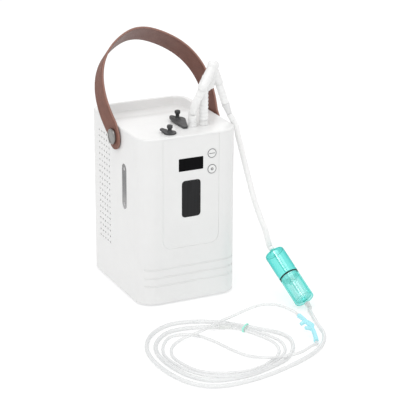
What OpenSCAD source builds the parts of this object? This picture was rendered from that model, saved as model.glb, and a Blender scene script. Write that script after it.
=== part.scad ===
// Table-top oxygen concentrator with a leather carrying strap, outlet hoses,
// a water trap and a nasal cannula. Millimetres, +Z up. The origin is on the
// floor under the middle of the case. The front of the case faces -Y and its
// left side faces -X. The cannula lies coiled on the floor in front.

/* [Case] */
// Width of the case from side to side
case_w = 160; // [158:1:166]
// Depth of the case from front to back
case_d = 200; // [198:1:206]
// Height of the case mouldings above the feet
case_h = 258; // [256:1:262]
// Wall thickness of the case mouldings
wall = 3; // [2.6:0.1:3.2]
// Corner radius of the two front uprights
front_r = 28; // [25:1:30]
// Corner radius of the two rear uprights
rear_r = 26; // [24:1:28]
// Height of the rubber feet
foot_h = 3; // [3:0.5:4]

/* [Top] */
// Thickness of the top cover at its edge
lid_t = 2.6; // [2.4:0.1:3]
// Depth of the scoop at the rear of the top
scoop_depth = 12; // [9:0.5:12]
// Width of the flat rim round the scoop
rim_w = 9; // [8:0.5:10]

/* [Front] */
// Width of the display lens
display_w = 39.5; // [36:0.5:42]
// Height of the display lens
display_h = 19.4; // [17:0.2:20]
// Width of the dark sight window
window_w = 30.4; // [28:0.2:32]
// Height of the dark sight window
window_h = 57; // [52:0.5:58]
// Diameter of the two push buttons
button_d = 14.2; // [13:0.1:15]
// Depth of the shallow front panel recess
relief = 0.5; // [0.4:0.1:0.8]
// Depth of the three base grooves
groove = 0.3; // [0.2:0.05:0.6]

/* [Side] */
// Length of the water level slot in the left side
slot_len = 70.5; // [64:0.5:72]
// Width of the water level slot
slot_w = 16.6; // [14:0.2:17]
// Diameter of each vent hole
vent_d = 3.5; // [3:0.1:4]
// Number of vent columns
vent_cols = 5; // [3:1:5]
// Number of vent rows
vent_rows = 19; // [10:1:19]

/* [Strap] */
// Width of the leather strap
strap_w = 40.5; // [36:0.5:41]
// Thickness of the leather strap
strap_t = 3.2; // [2.6:0.1:3.2]
// Height of the strap arch above its pivots, measured along its plane
strap_rise = 161; // [155:1:165]
// Angle by which the strap leans back from upright at rest
strap_lean = 39.5; // [35:0.5:42]

/* [Hidden] */

$fn = 64;
both = [-1, 1];  // left and right, or lower and upper
half_w = case_w / 2;
half_d = case_d / 2;
top_z = foot_h + case_h;
seam_z = top_z - lid_t;

white = [0.93, 0.93, 0.92];
grey = [0.55, 0.56, 0.57];
dark = [0.10, 0.10, 0.11];
teal = [0.25, 0.75, 0.72];
clear = [0.90, 0.93, 0.94];
board_green = [0.05, 0.3, 0.15];

// ---------- outlines ----------

// Plan outline of the case
module plan(inset = 0) {
  x = half_w - inset;
  y = half_d - inset;
  front = front_r - inset;
  rear = rear_r - inset;
  for (side = both) {
    translate([side * (x - front), -(y - front)]) circle(front);
    translate([side * (x - rear), y - rear]) circle(rear);
  }
  translate([-(x - front), -y]) square([2 * (x - front), y]);
  translate([-(x - rear), 0]) square([2 * (x - rear), y]);
  translate([-x, -(y - front)]) square([2 * x, (y - front) + (y - rear)]);
}

// Rounded rectangle, centred
module rounded(width, height, radius) {
  for (x = both, y = both)
    translate([x * (width / 2 - radius), y * (height / 2 - radius)]) circle(radius);
  square([width - 2 * radius, height], center = true);
  square([width, height - 2 * radius], center = true);
}

// Pill with its length along Y
module pill(width, length) {
  for (y = both) translate([0, y * (length - width) / 2]) circle(width / 2);
  square([width, length - width], center = true);
}

// ---------- solids ----------

// Slab from y0 to y1, its outline standing in the XZ plane about [x, z]
module slab(x, z, y0, y1) {
  translate([x, y1, z]) rotate([90, 0, 0]) linear_extrude(y1 - y0) children();
}
// Slab from x0 to x1, its outline standing in the YZ plane about [y, z]
module side_slab(y, z, x0, x1) {
  translate([x0, y, z]) rotate([90, 0, 90]) linear_extrude(x1 - x0) children();
}
// Box between two opposite corners
module box(low, high) { translate(low) cube(high - low); }
// Box on one side of the middle; low and high are [y, z]
module side_box(side, inner, outer, low, high) {
  box([min(side * inner, side * outer), low[0], low[1]],
    [max(side * inner, side * outer), high[0], high[1]]);
}
// Cylinders starting at a point and running along +X (or -X), +Y and +Z
module rod_x(start, radius, length, side = 1) {
  translate(start) rotate([0, side * 90, 0]) cylinder(r = radius, h = length);
}
module rod_y(start, radius, length) {
  translate(start) rotate([-90, 0, 0]) cylinder(r = radius, h = length);
}
module rod_z(start, radius, length) { translate(start) cylinder(r = radius, h = length); }
// Solid of revolution; points are [radius, z]
module turned(points) { rotate_extrude() polygon(points); }
// Children at start, their +Z turned towards end
module along(start, end) {
  run = end - start;
  translate(start) rotate([0, acos(run[2] / norm(run)), atan2(run[1], run[0])]) children();
}
// Plan position [x, y] raised to height z
function at(place, z) = [place[0], place[1], z];
function unit(v) = v / norm(v);

// ---------- swept tubes ----------

path_steps = 3;  // path points per pair of stations

// Catmull-Rom spline between from and to, t running from 0 to 1
function spline(before, from, to, after, t) = 0.5 * (2 * from + (to - before) * t
  + (2 * before - 5 * from + 4 * to - after) * t * t
  + (3 * from - before - 3 * to + after) * t * t * t);
function smooth_path(stations) = let (last = len(stations) - 1)
  [for (i = [0:last - 1], j = [0:path_steps - 1])
    spline(stations[max(i - 1, 0)], stations[i], stations[i + 1], stations[min(i + 2, last)],
      j / path_steps),
    stations[last]];

// Round bar swept along a path; off_axis is a direction the path never follows
module sweep(path, radius, facets = 8, off_axis = [0, 0, 1]) {
  last = len(path) - 1;
  points = [for (i = [0:last])
    let (ahead = unit(path[min(i + 1, last)] - path[max(i - 1, 0)]),
      across = unit(cross(off_axis, ahead)),
      up = cross(ahead, across))
    for (k = [0:facets - 1])
      path[i] + radius * (cos(360 * k / facets) * across + sin(360 * k / facets) * up)];
  faces = concat(
    [[for (k = [0:facets - 1]) k]],
    [for (i = [0:last - 1], k = [0:facets - 1])
      let (ring = i * facets, next = ring + facets, turn = (k + 1) % facets)
      [ring + k, next + k, next + turn, ring + turn]],
    [[for (k = [0:facets - 1]) last * facets + facets - 1 - k]]);
  polyhedron(points, faces);
}
module tube(stations, radius, facets = 8, off_axis = [0, 0, 1]) {
  sweep(smooth_path(stations), radius, facets, off_axis);
}

// ---------- places on the case ----------

inner_y = -half_d + wall;     // inside of the front wall
inner_x = -half_w + wall;     // inside of the left wall
face_y = -half_d + relief;    // floor of the front recess
fit = 0.2;                    // opening size over the part in it
panel_w = 91;                 // front recess
panel_bottom = 88;
panel_top = top_z + 40;
display_z = top_z - 44.6;
window_x = 0.4;
window_z = top_z - 98;
button_x = 34;
power_z = top_z - 32.5;
set_z = top_z - 56.8;
slot_y = -37;
slot_z = top_z - 87.5;
pivot_y = -8;                 // strap pivots
pivot_z = top_z - 17;
vent_y = 20;                  // lowest, foremost vent hole
vent_z = 64.8;
vent_pitch = 9.45;
groove_z = 30.8;              // lowest base groove
groove_pitch = 13;
groove_w = 2.2;
back_w = 112;                 // rear opening
back_low = 14;
back_high = 248;
back_h = back_high - back_low;
back_mid = (back_low + back_high) / 2;
filter_z = 195;
inlet_x = -32;                // power inlet, with the switch above it
inlet_z = 36;
switch_z = 66;
fan_x = 18;
fan_z = 84;
rear_port = [11.1, -27.8];    // ports in the top, [x, y]
front_port = [-25.5, -80.5];
plug_ports = [rear_port, front_port];
outlet_a = [38.7, -60.4];
outlet_b = [20.1, -61.1];
tray_t = 3;
front_post = 12.5;            // inset of the corner screw posts
rear_post = 11.5;

// Children at each of the four corner screw posts
module at_posts(z) {
  for (side = both) {
    translate([side * (half_w - front_post), -half_d + front_post, z]) children();
    translate([side * (half_w - rear_post), half_d - rear_post, z]) children();
  }
}
// Children at each of the four rear panel screws, their +Z turned to the rear
module at_panel_screws(y) {
  for (side = both, z = [back_low + 6, back_high - 6])
    translate([side * (back_w / 2 - 3.4), y, z]) rotate([-90, 0, 0]) children();
}
// Cutters through the front wall and the rear panel
module through_front(x, z) { slab(x, z, -half_d - 2, inner_y + 2) children(); }
module through_back(x, z) { slab(x, z, half_d - 4, half_d + 1) children(); }

// ---------- case ----------

module housing() {
  color(white) difference() {
    union() {
      difference() {
        translate([0, 0, foot_h]) linear_extrude(seam_z - foot_h) plan();
        translate([0, 0, foot_h - 1]) linear_extrude(case_h + 2) plan(wall);
      }
      // landings for the rear panel screws
      for (side = both)
        side_box(side, 50, half_w - 22, [half_d - 6.4, back_low - 1.5], [half_d - 2.9, back_high + 2]);
      at_posts(6.2) cylinder(r = 4.5, h = 22);
    }
    // rear opening
    slab(0, back_mid, half_d - wall - 0.02, half_d + 1) rounded(back_w, back_h, 5);
    // shallow front recess, open at the top
    slab(0, (panel_bottom + panel_top) / 2, -half_d - 1, face_y)
      rounded(panel_w, panel_top - panel_bottom, 14);
    // grooves near the base, wrapping onto the front corners
    for (i = [0:2]) let (z = groove_z + i * groove_pitch) intersection() {
      translate([0, 0, z]) linear_extrude(groove_w) difference() {
        plan(-2);
        plan(groove);
      }
      box([-half_w + 8, -half_d - 3, z - 1], [half_w - 8, -half_d + 9, z + 4]);
    }
    // display, window and button openings
    through_front(0, display_z) rounded(display_w + fit, display_h + fit, 1.2);
    through_front(window_x, window_z) rounded(window_w + fit, window_h + fit, 5.6);
    for (z = [power_z, set_z])
      rod_y([button_x, -half_d - 2, z], (button_d + fit) / 2, wall + 4);
    // water level slot in the left side
    side_slab(slot_y, slot_z, -half_w - 2, inner_x + 2) pill(slot_w + fit, slot_len + fit);
    // vent holes in both sides
    for (x = [-half_w - 1, half_w - wall - 1]) side_slab(0, 0, x, x + wall + 2)
      for (i = [0:vent_cols - 1], j = [0:vent_rows - 1])
        translate([vent_y + i * vent_pitch, vent_z + j * vent_pitch])
          circle(d = vent_d, $fn = 24);
    // strap bolt holes
    rod_x([-half_w - 1, pivot_y, pivot_z], 4.05, case_w + 2);
    // screw holes in the posts and in the landings
    at_posts(2) cylinder(r = 1.55, h = 20);
    at_panel_screws(half_d - 8) cylinder(r = 1.55, h = 6);
  }
}

scoop_front = 6;    // y where the scoop starts to fall
scoop_floor = 66;   // y where it reaches full depth
skirt = 3;          // block depth under the scoop floor
overlap = 0.01;

// Height of the cover's top between the start of the scoop and its floor
function scoop_z(y) = top_z
  - scoop_depth * (1 - cos(180 * (y - scoop_front) / (scoop_floor - scoop_front))) / 2;
// Cutter inside the rim, bounded by the scoop line lowered by drop and the rest of an
// outline of [y, z] points
module scoop_cut(drop, rest) {
  intersection() {
    translate([0, 0, top_z - 30]) linear_extrude(40) plan(rim_w + 2);
    rotate([90, 0, 90]) translate([0, 0, -half_w]) linear_extrude(case_w)
      polygon(concat([for (y = [scoop_front:4:scoop_floor]) [y, scoop_z(y) - drop]],
        [[half_d, top_z - scoop_depth - drop]], rest));
  }
}
module top_cover() {
  color(white) difference() {
    union() {
      translate([0, 0, seam_z]) linear_extrude(lid_t) plan();
      translate([0, 0, top_z - scoop_depth - skirt])
        linear_extrude(scoop_depth + skirt - lid_t + overlap) plan(rim_w - 1);
    }
    // scoop
    scoop_cut(0, [[half_d, top_z + 5], [0, top_z + 5], [0, top_z]]);
    // underside, leaving a skin
    scoop_cut(lid_t, [[half_d, top_z - 40], [-half_d, top_z - 40], [-half_d, top_z - lid_t]]);
    // two plugged ports and two outlet ports
    for (port = plug_ports) rod_z(at(port, top_z - 10), 6, 20);
    for (port = [outlet_a, outlet_b]) rod_z(at(port, top_z - 10), 5, 20);
  }
}

module rear_panel() {
  color(white) difference() {
    slab(0, back_mid, half_d - 2.8, half_d - 0.1) rounded(back_w - 0.5, back_h - 0.5, 4.8);
    // opening behind the filter cover
    through_back(0, filter_z) rounded(84, 64, 4);
    // slots over the fan, shorter towards the sides
    for (i = [-4:4])
      through_back(fan_x + i * 6, fan_z) pill(3, 2 * sqrt(27 * 27 - i * i * 30) + 2);
    through_back(inlet_x, inlet_z) rounded(27.2, 20.2, 3);
    through_back(inlet_x, switch_z) rounded(19.2, 13.2, 1);
    at_panel_screws(half_d - 4) cylinder(r = 1.65, h = 6);
  }
}

module base_tray() {
  gap = wall + 0.25;
  color(grey) difference() {
    union() {
      translate([0, 0, foot_h]) linear_extrude(tray_t) plan(gap);
      // rim
      translate([0, 0, foot_h]) linear_extrude(9) difference() {
        plan(gap);
        plan(gap + 2);
      }
      // ribs
      for (y = [-70, 60]) box([-60, y - 1, foot_h], [60, y + 1, foot_h + 7]);
    }
    // room for the screw posts, and screw holes
    at_posts(foot_h + tray_t) cylinder(r = 5.2, h = 20);
    at_posts(0) cylinder(r = 1.65, h = 20);
    // slots under the compressor
    for (i = [-3:3]) translate([i * 9, 0, 0]) linear_extrude(12) pill(4, 40);
  }
}

// One rubber strip round the underside, open at the rear
module rubber_foot_strip() {
  color(dark) difference() {
    union() {
      translate([0, -1, 0.8]) linear_extrude(foot_h - 0.8) rounded(118, 156, 18);
      translate([0, -1, 0]) linear_extrude(0.81) rounded(116.4, 154.4, 17.2);
    }
    translate([0, -1, -1]) linear_extrude(foot_h + 2) rounded(100, 138, 9);
    box([-32, 50, -1], [32, 90, foot_h + 1]);
  }
}

// Pan head screw with its head's underside at the origin and its shank along -Z
module screw(length) {
  turned([[0, -length], [1.1, -length], [1.5, -length + 0.8], [1.5, 0], [2.9, 0], [2.9, 1],
    [2.2, 1.7], [1.2, 1.7], [1.2, 0.7], [0, 0.7]]);
}
module case_screws() {
  color(grey) {
    at_posts(foot_h) rotate([180, 0, 0]) screw(14);
    at_panel_screws(half_d - 0.1) screw(6);
  }
}

// ---------- front controls ----------

// Pane (first child outline) with a flange (second) behind the front wall
module front_pane(x, z) {
  slab(x, z, face_y + 0.2, inner_y + 0.2) children(0);
  slab(x, z, inner_y + 0.05, inner_y + 1.2) children(1);
}
module display_lens() {
  color(dark) front_pane(0, display_z) {
    rounded(display_w, display_h, 1.1);
    rounded(display_w + 5, display_h + 3, 1.5);
  }
}
module front_window() {
  color(dark) front_pane(window_x, window_z) {
    rounded(window_w, window_h, 5.5);
    rounded(window_w + 5, window_h + 5, 7);
  }
}
module water_level_window() {
  color(clear) {
    side_slab(slot_y, slot_z, -half_w + 0.6, inner_x + 0.2) pill(slot_w, slot_len);
    side_slab(slot_y, slot_z, inner_x + 0.05, inner_x + 1.2) pill(slot_w + 5, slot_len + 5);
  }
}
module display_module() {
  color([0.2, 0.22, 0.2]) union() {
    slab(0, display_z, inner_y + 1.4, inner_y + 5) square([37, 16.5], center = true);
    slab(0, display_z, inner_y + 3.4, inner_y + 6.4) square([39, 20], center = true);
  }
}

board_x = 9;
board_y = inner_y + 6.5;
board_t = 1.6;
module control_board() {
  color(board_green) difference() {
    union() {
      slab(board_x, display_z, board_y, board_y + board_t) rounded(76, 46, 2);
      // switches behind the buttons
      for (z = [power_z, set_z]) {
        slab(button_x, z, board_y - 1.6, board_y + 0.1) square([6.2, 6.2], center = true);
        rod_y([button_x, board_y - 2.3, z], 1.7, 1);
      }
      // block on the rear face
      slab(35, display_z - 9, board_y + 1.5, board_y + 6) square([18, 6], center = true);
    }
    for (x = both, z = both)
      rod_y([board_x + x * 34, board_y - 2, display_z + z * 19.5], 1.6, 8);
  }
}

// Push button: dished cap, flange behind the wall and stem
module button(z) {
  radius = button_d / 2;
  back = half_d - wall;
  face = half_d - relief;
  translate([button_x, 0, z]) rotate([90, 0, 0]) turned([
    [0, back - 3.1], [1.8, back - 3.1], [1.8, back - 1.6],
    [radius + 0.9, back - 1.6], [radius + 0.9, back - 0.1], [radius, back - 0.1],
    [radius, face + 0.1], [radius - 0.5, face + 0.5], [radius - 1.3, face + 0.5],
    [radius - 1.6, face + 0.3], [0, face + 0.3]]);
}
module power_button() { color(white) button(power_z); }
module set_button() { color(white) button(set_z); }

// ---------- humidifier ----------

tank_low = [-73, -88, 122];
tank_high = [24, -14, 212];
tank_top = tank_high[2];
tank_mid = (tank_low + tank_high) / 2;
tank_size = tank_high - tank_low;
tank_wall = 2;
// Tank outline in its place in plan
module tank_slab(z, height, inset = 0) {
  translate(at(tank_mid, z)) linear_extrude(height)
    rounded(tank_size[0] - 2 * inset, tank_size[1] - 2 * inset, 12 - inset);
}
module water_tank() {
  color(clear) difference() {
    tank_slab(tank_low[2], tank_size[2]);
    tank_slab(tank_low[2] + tank_wall, tank_size[2], tank_wall);
  }
}
// Lid with necks rising to the two plugged ports
module tank_lid() {
  color(white) difference() {
    union() {
      tank_slab(tank_top + 0.05, 3);
      for (port = plug_ports) rod_z(at(port, tank_top + 2), 8, seam_z - tank_top - 2.1);
    }
    for (port = plug_ports) rod_z(at(port, tank_top - 1), 6, 60);
  }
}

// ---------- strap ----------

function bezier(p, t) = len(p) == 1 ? p[0]
  : bezier([for (i = [0:len(p) - 2]) p[i] * (1 - t) + p[i + 1] * t], t);
arm_x = half_w + 3;               // middle of the strap's thickness at the pivots
arm_face = arm_x + strap_t / 2;
arm_h = 12;                       // height of the straight ends
// Bezier control points of the left half, [x, height along the strap's plane]
strap_control = [[-arm_x, arm_h], [-arm_x, 22], [-arm_x - 34, strap_rise - 16],
  [-30, strap_rise - 25], [-35, strap_rise], [0, strap_rise]];
strap_steps = 22;
strap_half = [for (i = [0:strap_steps]) bezier(strap_control, i / strap_steps)];
strap_arch = concat(strap_half,
  [for (i = [strap_steps - 1:-1:0]) [-strap_half[i][0], strap_half[i][1]]]);
// the arch leans a little to the left at its crown
strap_line = [for (p = strap_arch) [p[0] - 2 * pow(p[1] / 150, 4), p[1]]];
strap_last = len(strap_line) - 1;
// Strap point i moved sideways by shift; the ends run straight up and down
function strap_edge(i, shift) =
  let (ahead = i == 0 ? [0, 1] : i == strap_last ? [0, -1]
    : unit(strap_line[i + 1] - strap_line[i - 1]))
  strap_line[i] + shift * [-ahead[1], ahead[0]];

module leather_strap() {
  color([0.45, 0.28, 0.23]) translate([0, pivot_y, pivot_z]) rotate([-strap_lean, 0, 0])
    difference() {
      union() {
        rotate([90, 0, 0]) linear_extrude(strap_w, center = true) polygon(concat(
          [for (i = [0:strap_last]) strap_edge(i, strap_t / 2)],
          [for (i = [strap_last:-1:0]) strap_edge(i, -strap_t / 2)]));
        // round ends
        for (side = both) side_slab(0, 0, side * arm_x - strap_t / 2, side * arm_x + strap_t / 2) {
          circle(strap_w / 2);
          translate([-strap_w / 2, 0]) square([strap_w, arm_h + 0.005]);
        }
      }
      rod_x([-half_w - 10, 0, 0], 4.06, case_w + 20);
    }
}
// Children at both pivots, their +Z turned outwards from the middle of the case
module at_pivots() {
  for (side = both) translate([0, pivot_y, pivot_z]) rotate([0, side * 90, 0]) children();
}
module strap_bolts() {
  inside = half_w - wall;
  color([0.72, 0.72, 0.70]) at_pivots() turned([
    [0, inside - 2.4], [6.6, inside - 2.4], [7, inside - 2], [7, inside], [4, inside],
    [4, arm_face + 0.1], [11.2, arm_face + 0.1], [12, arm_face + 0.9], [12, arm_face + 4],
    [11.2, arm_face + 4.8], [9.8, arm_face + 4.8], [9.4, arm_face + 4.4], [0, arm_face + 4.4]]);
}
module strap_washers() {
  outside = arm_x - strap_t / 2 - 0.05;
  color(dark) at_pivots()
    turned([[4.02, half_w], [9.5, half_w], [9.5, outside], [4.02, outside]]);
}

// ---------- port plugs ----------

// Plug with a teardrop flap of the given thickness, a stopper below and a waisted grip
// reaching height above the port
module plug(head_r, tail_r, tail_y, thick, height) {
  linear_extrude(thick) hull() {
    circle(head_r);
    translate([0, -tail_y]) circle(tail_r);
  }
  turned([[0, -9], [5.2, -9], [5.9, -8], [5.9, -5.6], [5.4, -5], [5.4, -4], [5.9, -3.4],
    [5.9, 0.02], [0, 0.02]]);
  turned([[0, thick - 0.1], [4.4, thick - 0.1], [3.4, thick + 1], [2.9, thick + 2.4],
    [2.9, height - 7], [3.5, height - 5.4], [4.2, height - 4.4], [4.3, height - 3.6],
    [4.3, height - 1], [3.7, height - 0.2], [2.4, height], [1.4, height - 1], [0, height - 1.4]]);
}
module rear_plug() {
  color(dark) translate(at(rear_port, top_z + 0.05)) rotate([0, 0, -8])
    plug(head_r = 12.2, tail_r = 4.4, tail_y = 38, thick = 3, height = 16.4);
}
module front_plug() {
  color(dark) translate(at(front_port, top_z + 0.05)) rotate([0, 0, -136])
    plug(head_r = 9.8, tail_r = 5.4, tail_y = 10, thick = 1.8, height = 13.2);
}

// ---------- outlet hoses ----------

fitting_h = 7;
leg_a_low = at(outlet_a, top_z + fitting_h);
leg_a_high = at(outlet_a, 314);
leg_b_low = at(outlet_b, top_z + fitting_h);
leg_b_high = [29.6, -72.8, 318];
leg_b_dir = unit([3.4, -1.6, 8.6]);   // direction of the smooth leg at its top
crown = [53.6, -61, 348];             // top of the manifold
branch_high = [62.6, -61.9, 321.5];
joiner_high = [72.6, -64, 290.2];
joiner_low = [78.6, -65.5, 274.1];
joiner_len = norm(joiner_low - joiner_high);
smooth_r = 5.9;                       // smooth leg hose
smooth_bore = 3.6;

// Moulded port fitting: nut, barb above and shank through the cover
module port_fitting(port, nut_r, barb_r, barb_z, tip_r, tip_z) {
  translate(at(port, top_z)) union() {
    turned([[1.8, -16], [3, -16], [3.4, -12], [3.4, -9], [4.9, -8], [4.9, 0.05],
      [nut_r, 0.05], [nut_r, 2.4], [nut_r - 0.6, 3], [nut_r - 0.6, 6.6],
      [nut_r - 1, fitting_h], [1.8, fitting_h]]);
    turned([[1.8, fitting_h - 0.1], [barb_r, fitting_h - 0.1], [barb_r, barb_z],
      [tip_r, tip_z], [1.8, tip_z]]);
  }
}
module outlet_fitting_a() {
  color(white)
    port_fitting(outlet_a, nut_r = 7.4, barb_r = 4.2, barb_z = 14, tip_r = 3.7, tip_z = 17);
}
module outlet_fitting_b() {
  color(white)
    port_fitting(outlet_b, nut_r = 6.9, barb_r = 3.2, barb_z = 13, tip_r = 2.8, tip_z = 15);
}

rib_depth = 0.7;
// One rib: [radius change, height as a fraction of the pitch]
rib = [[-rib_depth, 0.18], [0, 0.32], [0, 0.72], [-rib_depth, 0.86]];
module ribbed(length, radius, bore, count) {
  valley = radius - rib_depth;
  turned(concat([[bore, 0], [valley, 0]],
    [for (i = [0:count - 1], step = rib) [radius + step[0], (i + step[1]) * length / count]],
    [[valley, length], [bore, length]]));
}
module ribbed_leg_hose() {
  color(white) along(leg_a_low, leg_a_high)
    ribbed(norm(leg_a_high - leg_a_low), radius = 7, bore = 4.5, count = 8);
}
module branch_hose() {
  color(white) along(branch_high, joiner_high) translate([0, 0, 0.05])
    ribbed(norm(joiner_high - branch_high) - 0.05, radius = 5.7, bore = 3.1, count = 7);
}
// Bored at both ends for the barbs, and bent to the left of a straight line
module smooth_leg_hose() {
  color(white) union() {
    translate(leg_b_low + [0, 0, 0.05]) difference() {
      cylinder(r = smooth_r, h = 10);
      rod_z([0, 0, -1], smooth_bore, 10.2);
    }
    tube([leg_b_low + [0, 0, 9.4], leg_b_low + [0.2, 0, 12], [20.3, -62.9, 284],
      [22.2, -66.8, 296], leg_b_high - 12.5 * leg_b_dir, leg_b_high - 9.6 * leg_b_dir],
      smooth_r, 16, [0, 1, 0.2]);
    along(leg_b_high - 10 * leg_b_dir, leg_b_high) difference() {
      cylinder(r = smooth_r, h = 10);
      rod_z([0, 0, 0.6], smooth_bore, 12);
    }
  }
}

// Manifold arm from a ball to the child
module manifold_arm(ball, radius) {
  hull() {
    translate(ball) sphere(radius, $fn = 24);
    children();
  }
}
module hose_manifold() {
  color(white) union() {
    manifold_arm(crown, 7.4)
      translate(leg_a_high + [0, 0, 0.05]) cylinder(r = 8.2, h = 6, $fn = 32);
    manifold_arm(crown, 7.4)
      along(leg_b_high + 0.05 * leg_b_dir, leg_b_high + leg_b_dir)
        cylinder(r = 7, h = 6, $fn = 28);
    manifold_arm(crown - [0, 0, 3], 6.8)
      along(branch_high, 2 * branch_high - joiner_high) cylinder(r = 6.3, h = 5, $fn = 28);
    // spigots into the three hoses
    along(leg_a_high + [0, 0, 1], leg_a_low) cylinder(r = 4.2, h = 9);
    along(leg_b_high + leg_b_dir, leg_b_high) cylinder(r = 3.3, h = 9);
    along(branch_high - 0.02 * (joiner_high - branch_high), joiner_high)
      cylinder(r = 2.9, h = 8);
  }
}
// Tapered sleeve between the branch hose and the long hose
module hose_joiner() {
  color([0.9, 0.9, 0.9]) along(joiner_high, joiner_low)
    turned([[0, -3.5], [2.4, -3.5], [2.4, 0.3], [5.2, 0.3], [5.7, 0.9], [5.7, 3.4], [5.4, 4],
      [4.1, joiner_len - 1.2], [3.9, joiner_len - 0.4], [0, joiner_len - 0.4]]);
}

trap_low = [141.2, -198.9, 12.9];
trap_high = [126.5, -125.7, 65.4];
trap_axis = unit(trap_high - trap_low);
trap_len = norm(trap_high - trap_low);
trap_split = 46;   // rim of the lower cup, measured along the trap

module long_hose() {
  hose_end = trap_high + 4.8 * trap_axis;
  color(white) tube([
    joiner_low, joiner_low + 3.5 * unit(joiner_low - joiner_high),
    [83.3, -66, 265.2], [87.3, -66.6, 257], [89.5, -69, 250.8], [90.8, -72, 238.4],
    [94.6, -75, 220], [98.6, -80, 197.2], [103.7, -85, 171.1], [109, -92, 142.1],
    [115, -101, 116.1], [120, -108, 97.5],
    hose_end + 9 * trap_axis, hose_end + 3 * trap_axis, hose_end], 4.3, 12, [1, 0, 0]);
}

// ---------- water trap, drawn along its own axis from the lower end ----------

module trap_frame() { along(trap_low, trap_high) children(); }
module trap_lower_cup() {
  color(teal) trap_frame() union() {
    turned([[0, 0], [14.4, 0], [15.4, 1], [15.4, 4], [15.2, 4.4], [15.2, trap_split],
      [13.5, trap_split], [13.5, 5], [12.5, 2.8], [1.4, 2.8], [0, 2.8]]);
    rod_z([0, 0, -4], 3.6, 4.5);
  }
}
module trap_seal() {
  color(dark) trap_frame() translate([0, 0, trap_split + 1.15])
    rotate_extrude() translate([14.3, 0]) circle(1, $fn = 24);
}
module trap_upper_cup() {
  color(teal) trap_frame() turned([
    [0, trap_len - 3], [13.4, trap_len - 3], [13.4, trap_split + 8], [11.6, trap_split + 6],
    [11.6, trap_split - 8], [13.1, trap_split - 8], [13.1, trap_split + 2.2],
    [15.5, trap_split + 2.2], [15.5, trap_len - 1.2], [14.3, trap_len], [5, trap_len],
    [5, trap_len + 3], [4.6, trap_len + 4.3], [0, trap_len + 4.3]]);
}
module trap_dip_tube() {
  color(clear) trap_frame() turned([[1.6, 16], [2.8, 16], [2.8, 52], [9.5, 52], [9.5, 54],
    [2.8, 54], [2.8, trap_len - 3.05], [1.6, trap_len - 3.05]]);
}

// ---------- coiled tubes and nasal cannula ----------

supply_r = 2.8;
cannula_r = 1.9;
supply_start = trap_low - 4.5 * trap_axis;
// Stations along each tube, [x, y, z]
supply_stations = [
  supply_start, supply_start - 3 * trap_axis, supply_start - 9 * trap_axis,
  [139.5, -217, 3.3], [133.5, -238.8, 3], [126.4, -265, 3], [118, -298, 3], [99, -327, 3],
  [76, -346, 3], [46, -362, 3], [8, -376, 3], [-25, -385, 3], [-57, -389, 3], [-84, -388, 3],
  [-108, -378, 3], [-126, -356, 3], [-137, -321, 3], [-140, -277, 3], [-133, -237, 3],
  [-113, -202, 3], [-85, -180, 3], [-57, -174, 3], [-24, -183, 3], [4, -201, 3],
  [28.2, -229.4, 3.95], [46, -247, 3], [62, -268, 3], [66, -293, 3], [53, -324, 3],
  [29, -349, 3], [-5, -364, 3], [-40, -373, 3], [-74, -372, 3], [-99, -362, 3],
  [-116, -339, 3], [-125, -306, 3], [-127, -270, 3], [-120, -238, 3], [-102, -212, 3],
  [-78, -197, 3], [-49, -197, 3], [-24, -206, 3.4], [-9, -212.5, 3.6]];
cannula_a_stations = [
  [97.7, -256.4, 20.3], [94, -247, 23.5], [82, -233, 28], [70, -225, 29.5],
  [58, -219, 28.5], [45, -214, 25], [30, -210, 19], [13, -209, 14], [-3, -211, 11.5],
  [-20, -217, 10.5], [-43, -227, 9.5], [-59, -229, 7.5], [-79, -231, 3.5],
  [-98, -246, 2.2], [-109, -271, 2.2], [-108, -298, 2.2], [-98, -327, 2.2],
  [-80, -345, 2.2], [-51, -356, 2.2], [-24, -357, 2.2], [4, -347, 2.2], [29, -327, 2.2],
  [40, -299, 2.2], [36, -272, 2.2], [20.2, -236.2, 3.1], [12, -225, 3.1],
  [7.2, -222.2, 3.4]];
cannula_b_stations = [
  [94, -318.6, 4.1], [90, -327, 5.2], [76, -338, 9.6], [55, -350, 10.4], [38, -354, 10.4],
  [19, -350, 9], [0, -337, 6], [-15, -313, 2.4], [-25, -288, 2.2], [-32, -262, 2.2],
  [-39, -242, 2.2], [-48, -225, 2.2], [-62, -214, 2.2], [-84, -212, 2.2],
  [-103, -230, 2.2], [-117, -259, 2.2], [-118, -290, 2.2], [-110, -321, 2.2],
  [-93, -347, 2.2], [-66, -363.5, 2.2], [-34, -365.5, 2.2], [2, -354, 2.2],
  [36, -330, 2.2], [50, -299, 2.2], [45, -268, 2.2], [24, -233, 3.1], [15, -221.5, 3.1],
  [9.2, -218.6, 3.4]];
module supply_tube() { color(clear) tube(supply_stations, supply_r); }
module cannula_tube_a() { color(clear) tube(cannula_a_stations, cannula_r); }
module cannula_tube_b() { color(clear) tube(cannula_b_stations, cannula_r); }

splitter_start = [-8.6, -212.7, 3.6];
splitter_end = [7.9, -220.6, 3.5];
module tube_splitter() {
  length = norm(splitter_end - splitter_start) - 0.9;
  color(clear) along(splitter_start, splitter_end) turned([[0, 0.05], [2.9, 0.05], [3.4, 1],
    [3.4, 8], [2.6, 10], [3.1, 15], [3.1, length], [0, length]]);
}

nose_path = smooth_path([[94.6, -317, 4.6], [98, -308, 7.5], [101, -296, 11.5],
  [101.6, -284, 14.5], [100.4, -271, 17.6], [98, -258, 20]]);
nose_last = len(nose_path) - 1;
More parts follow.
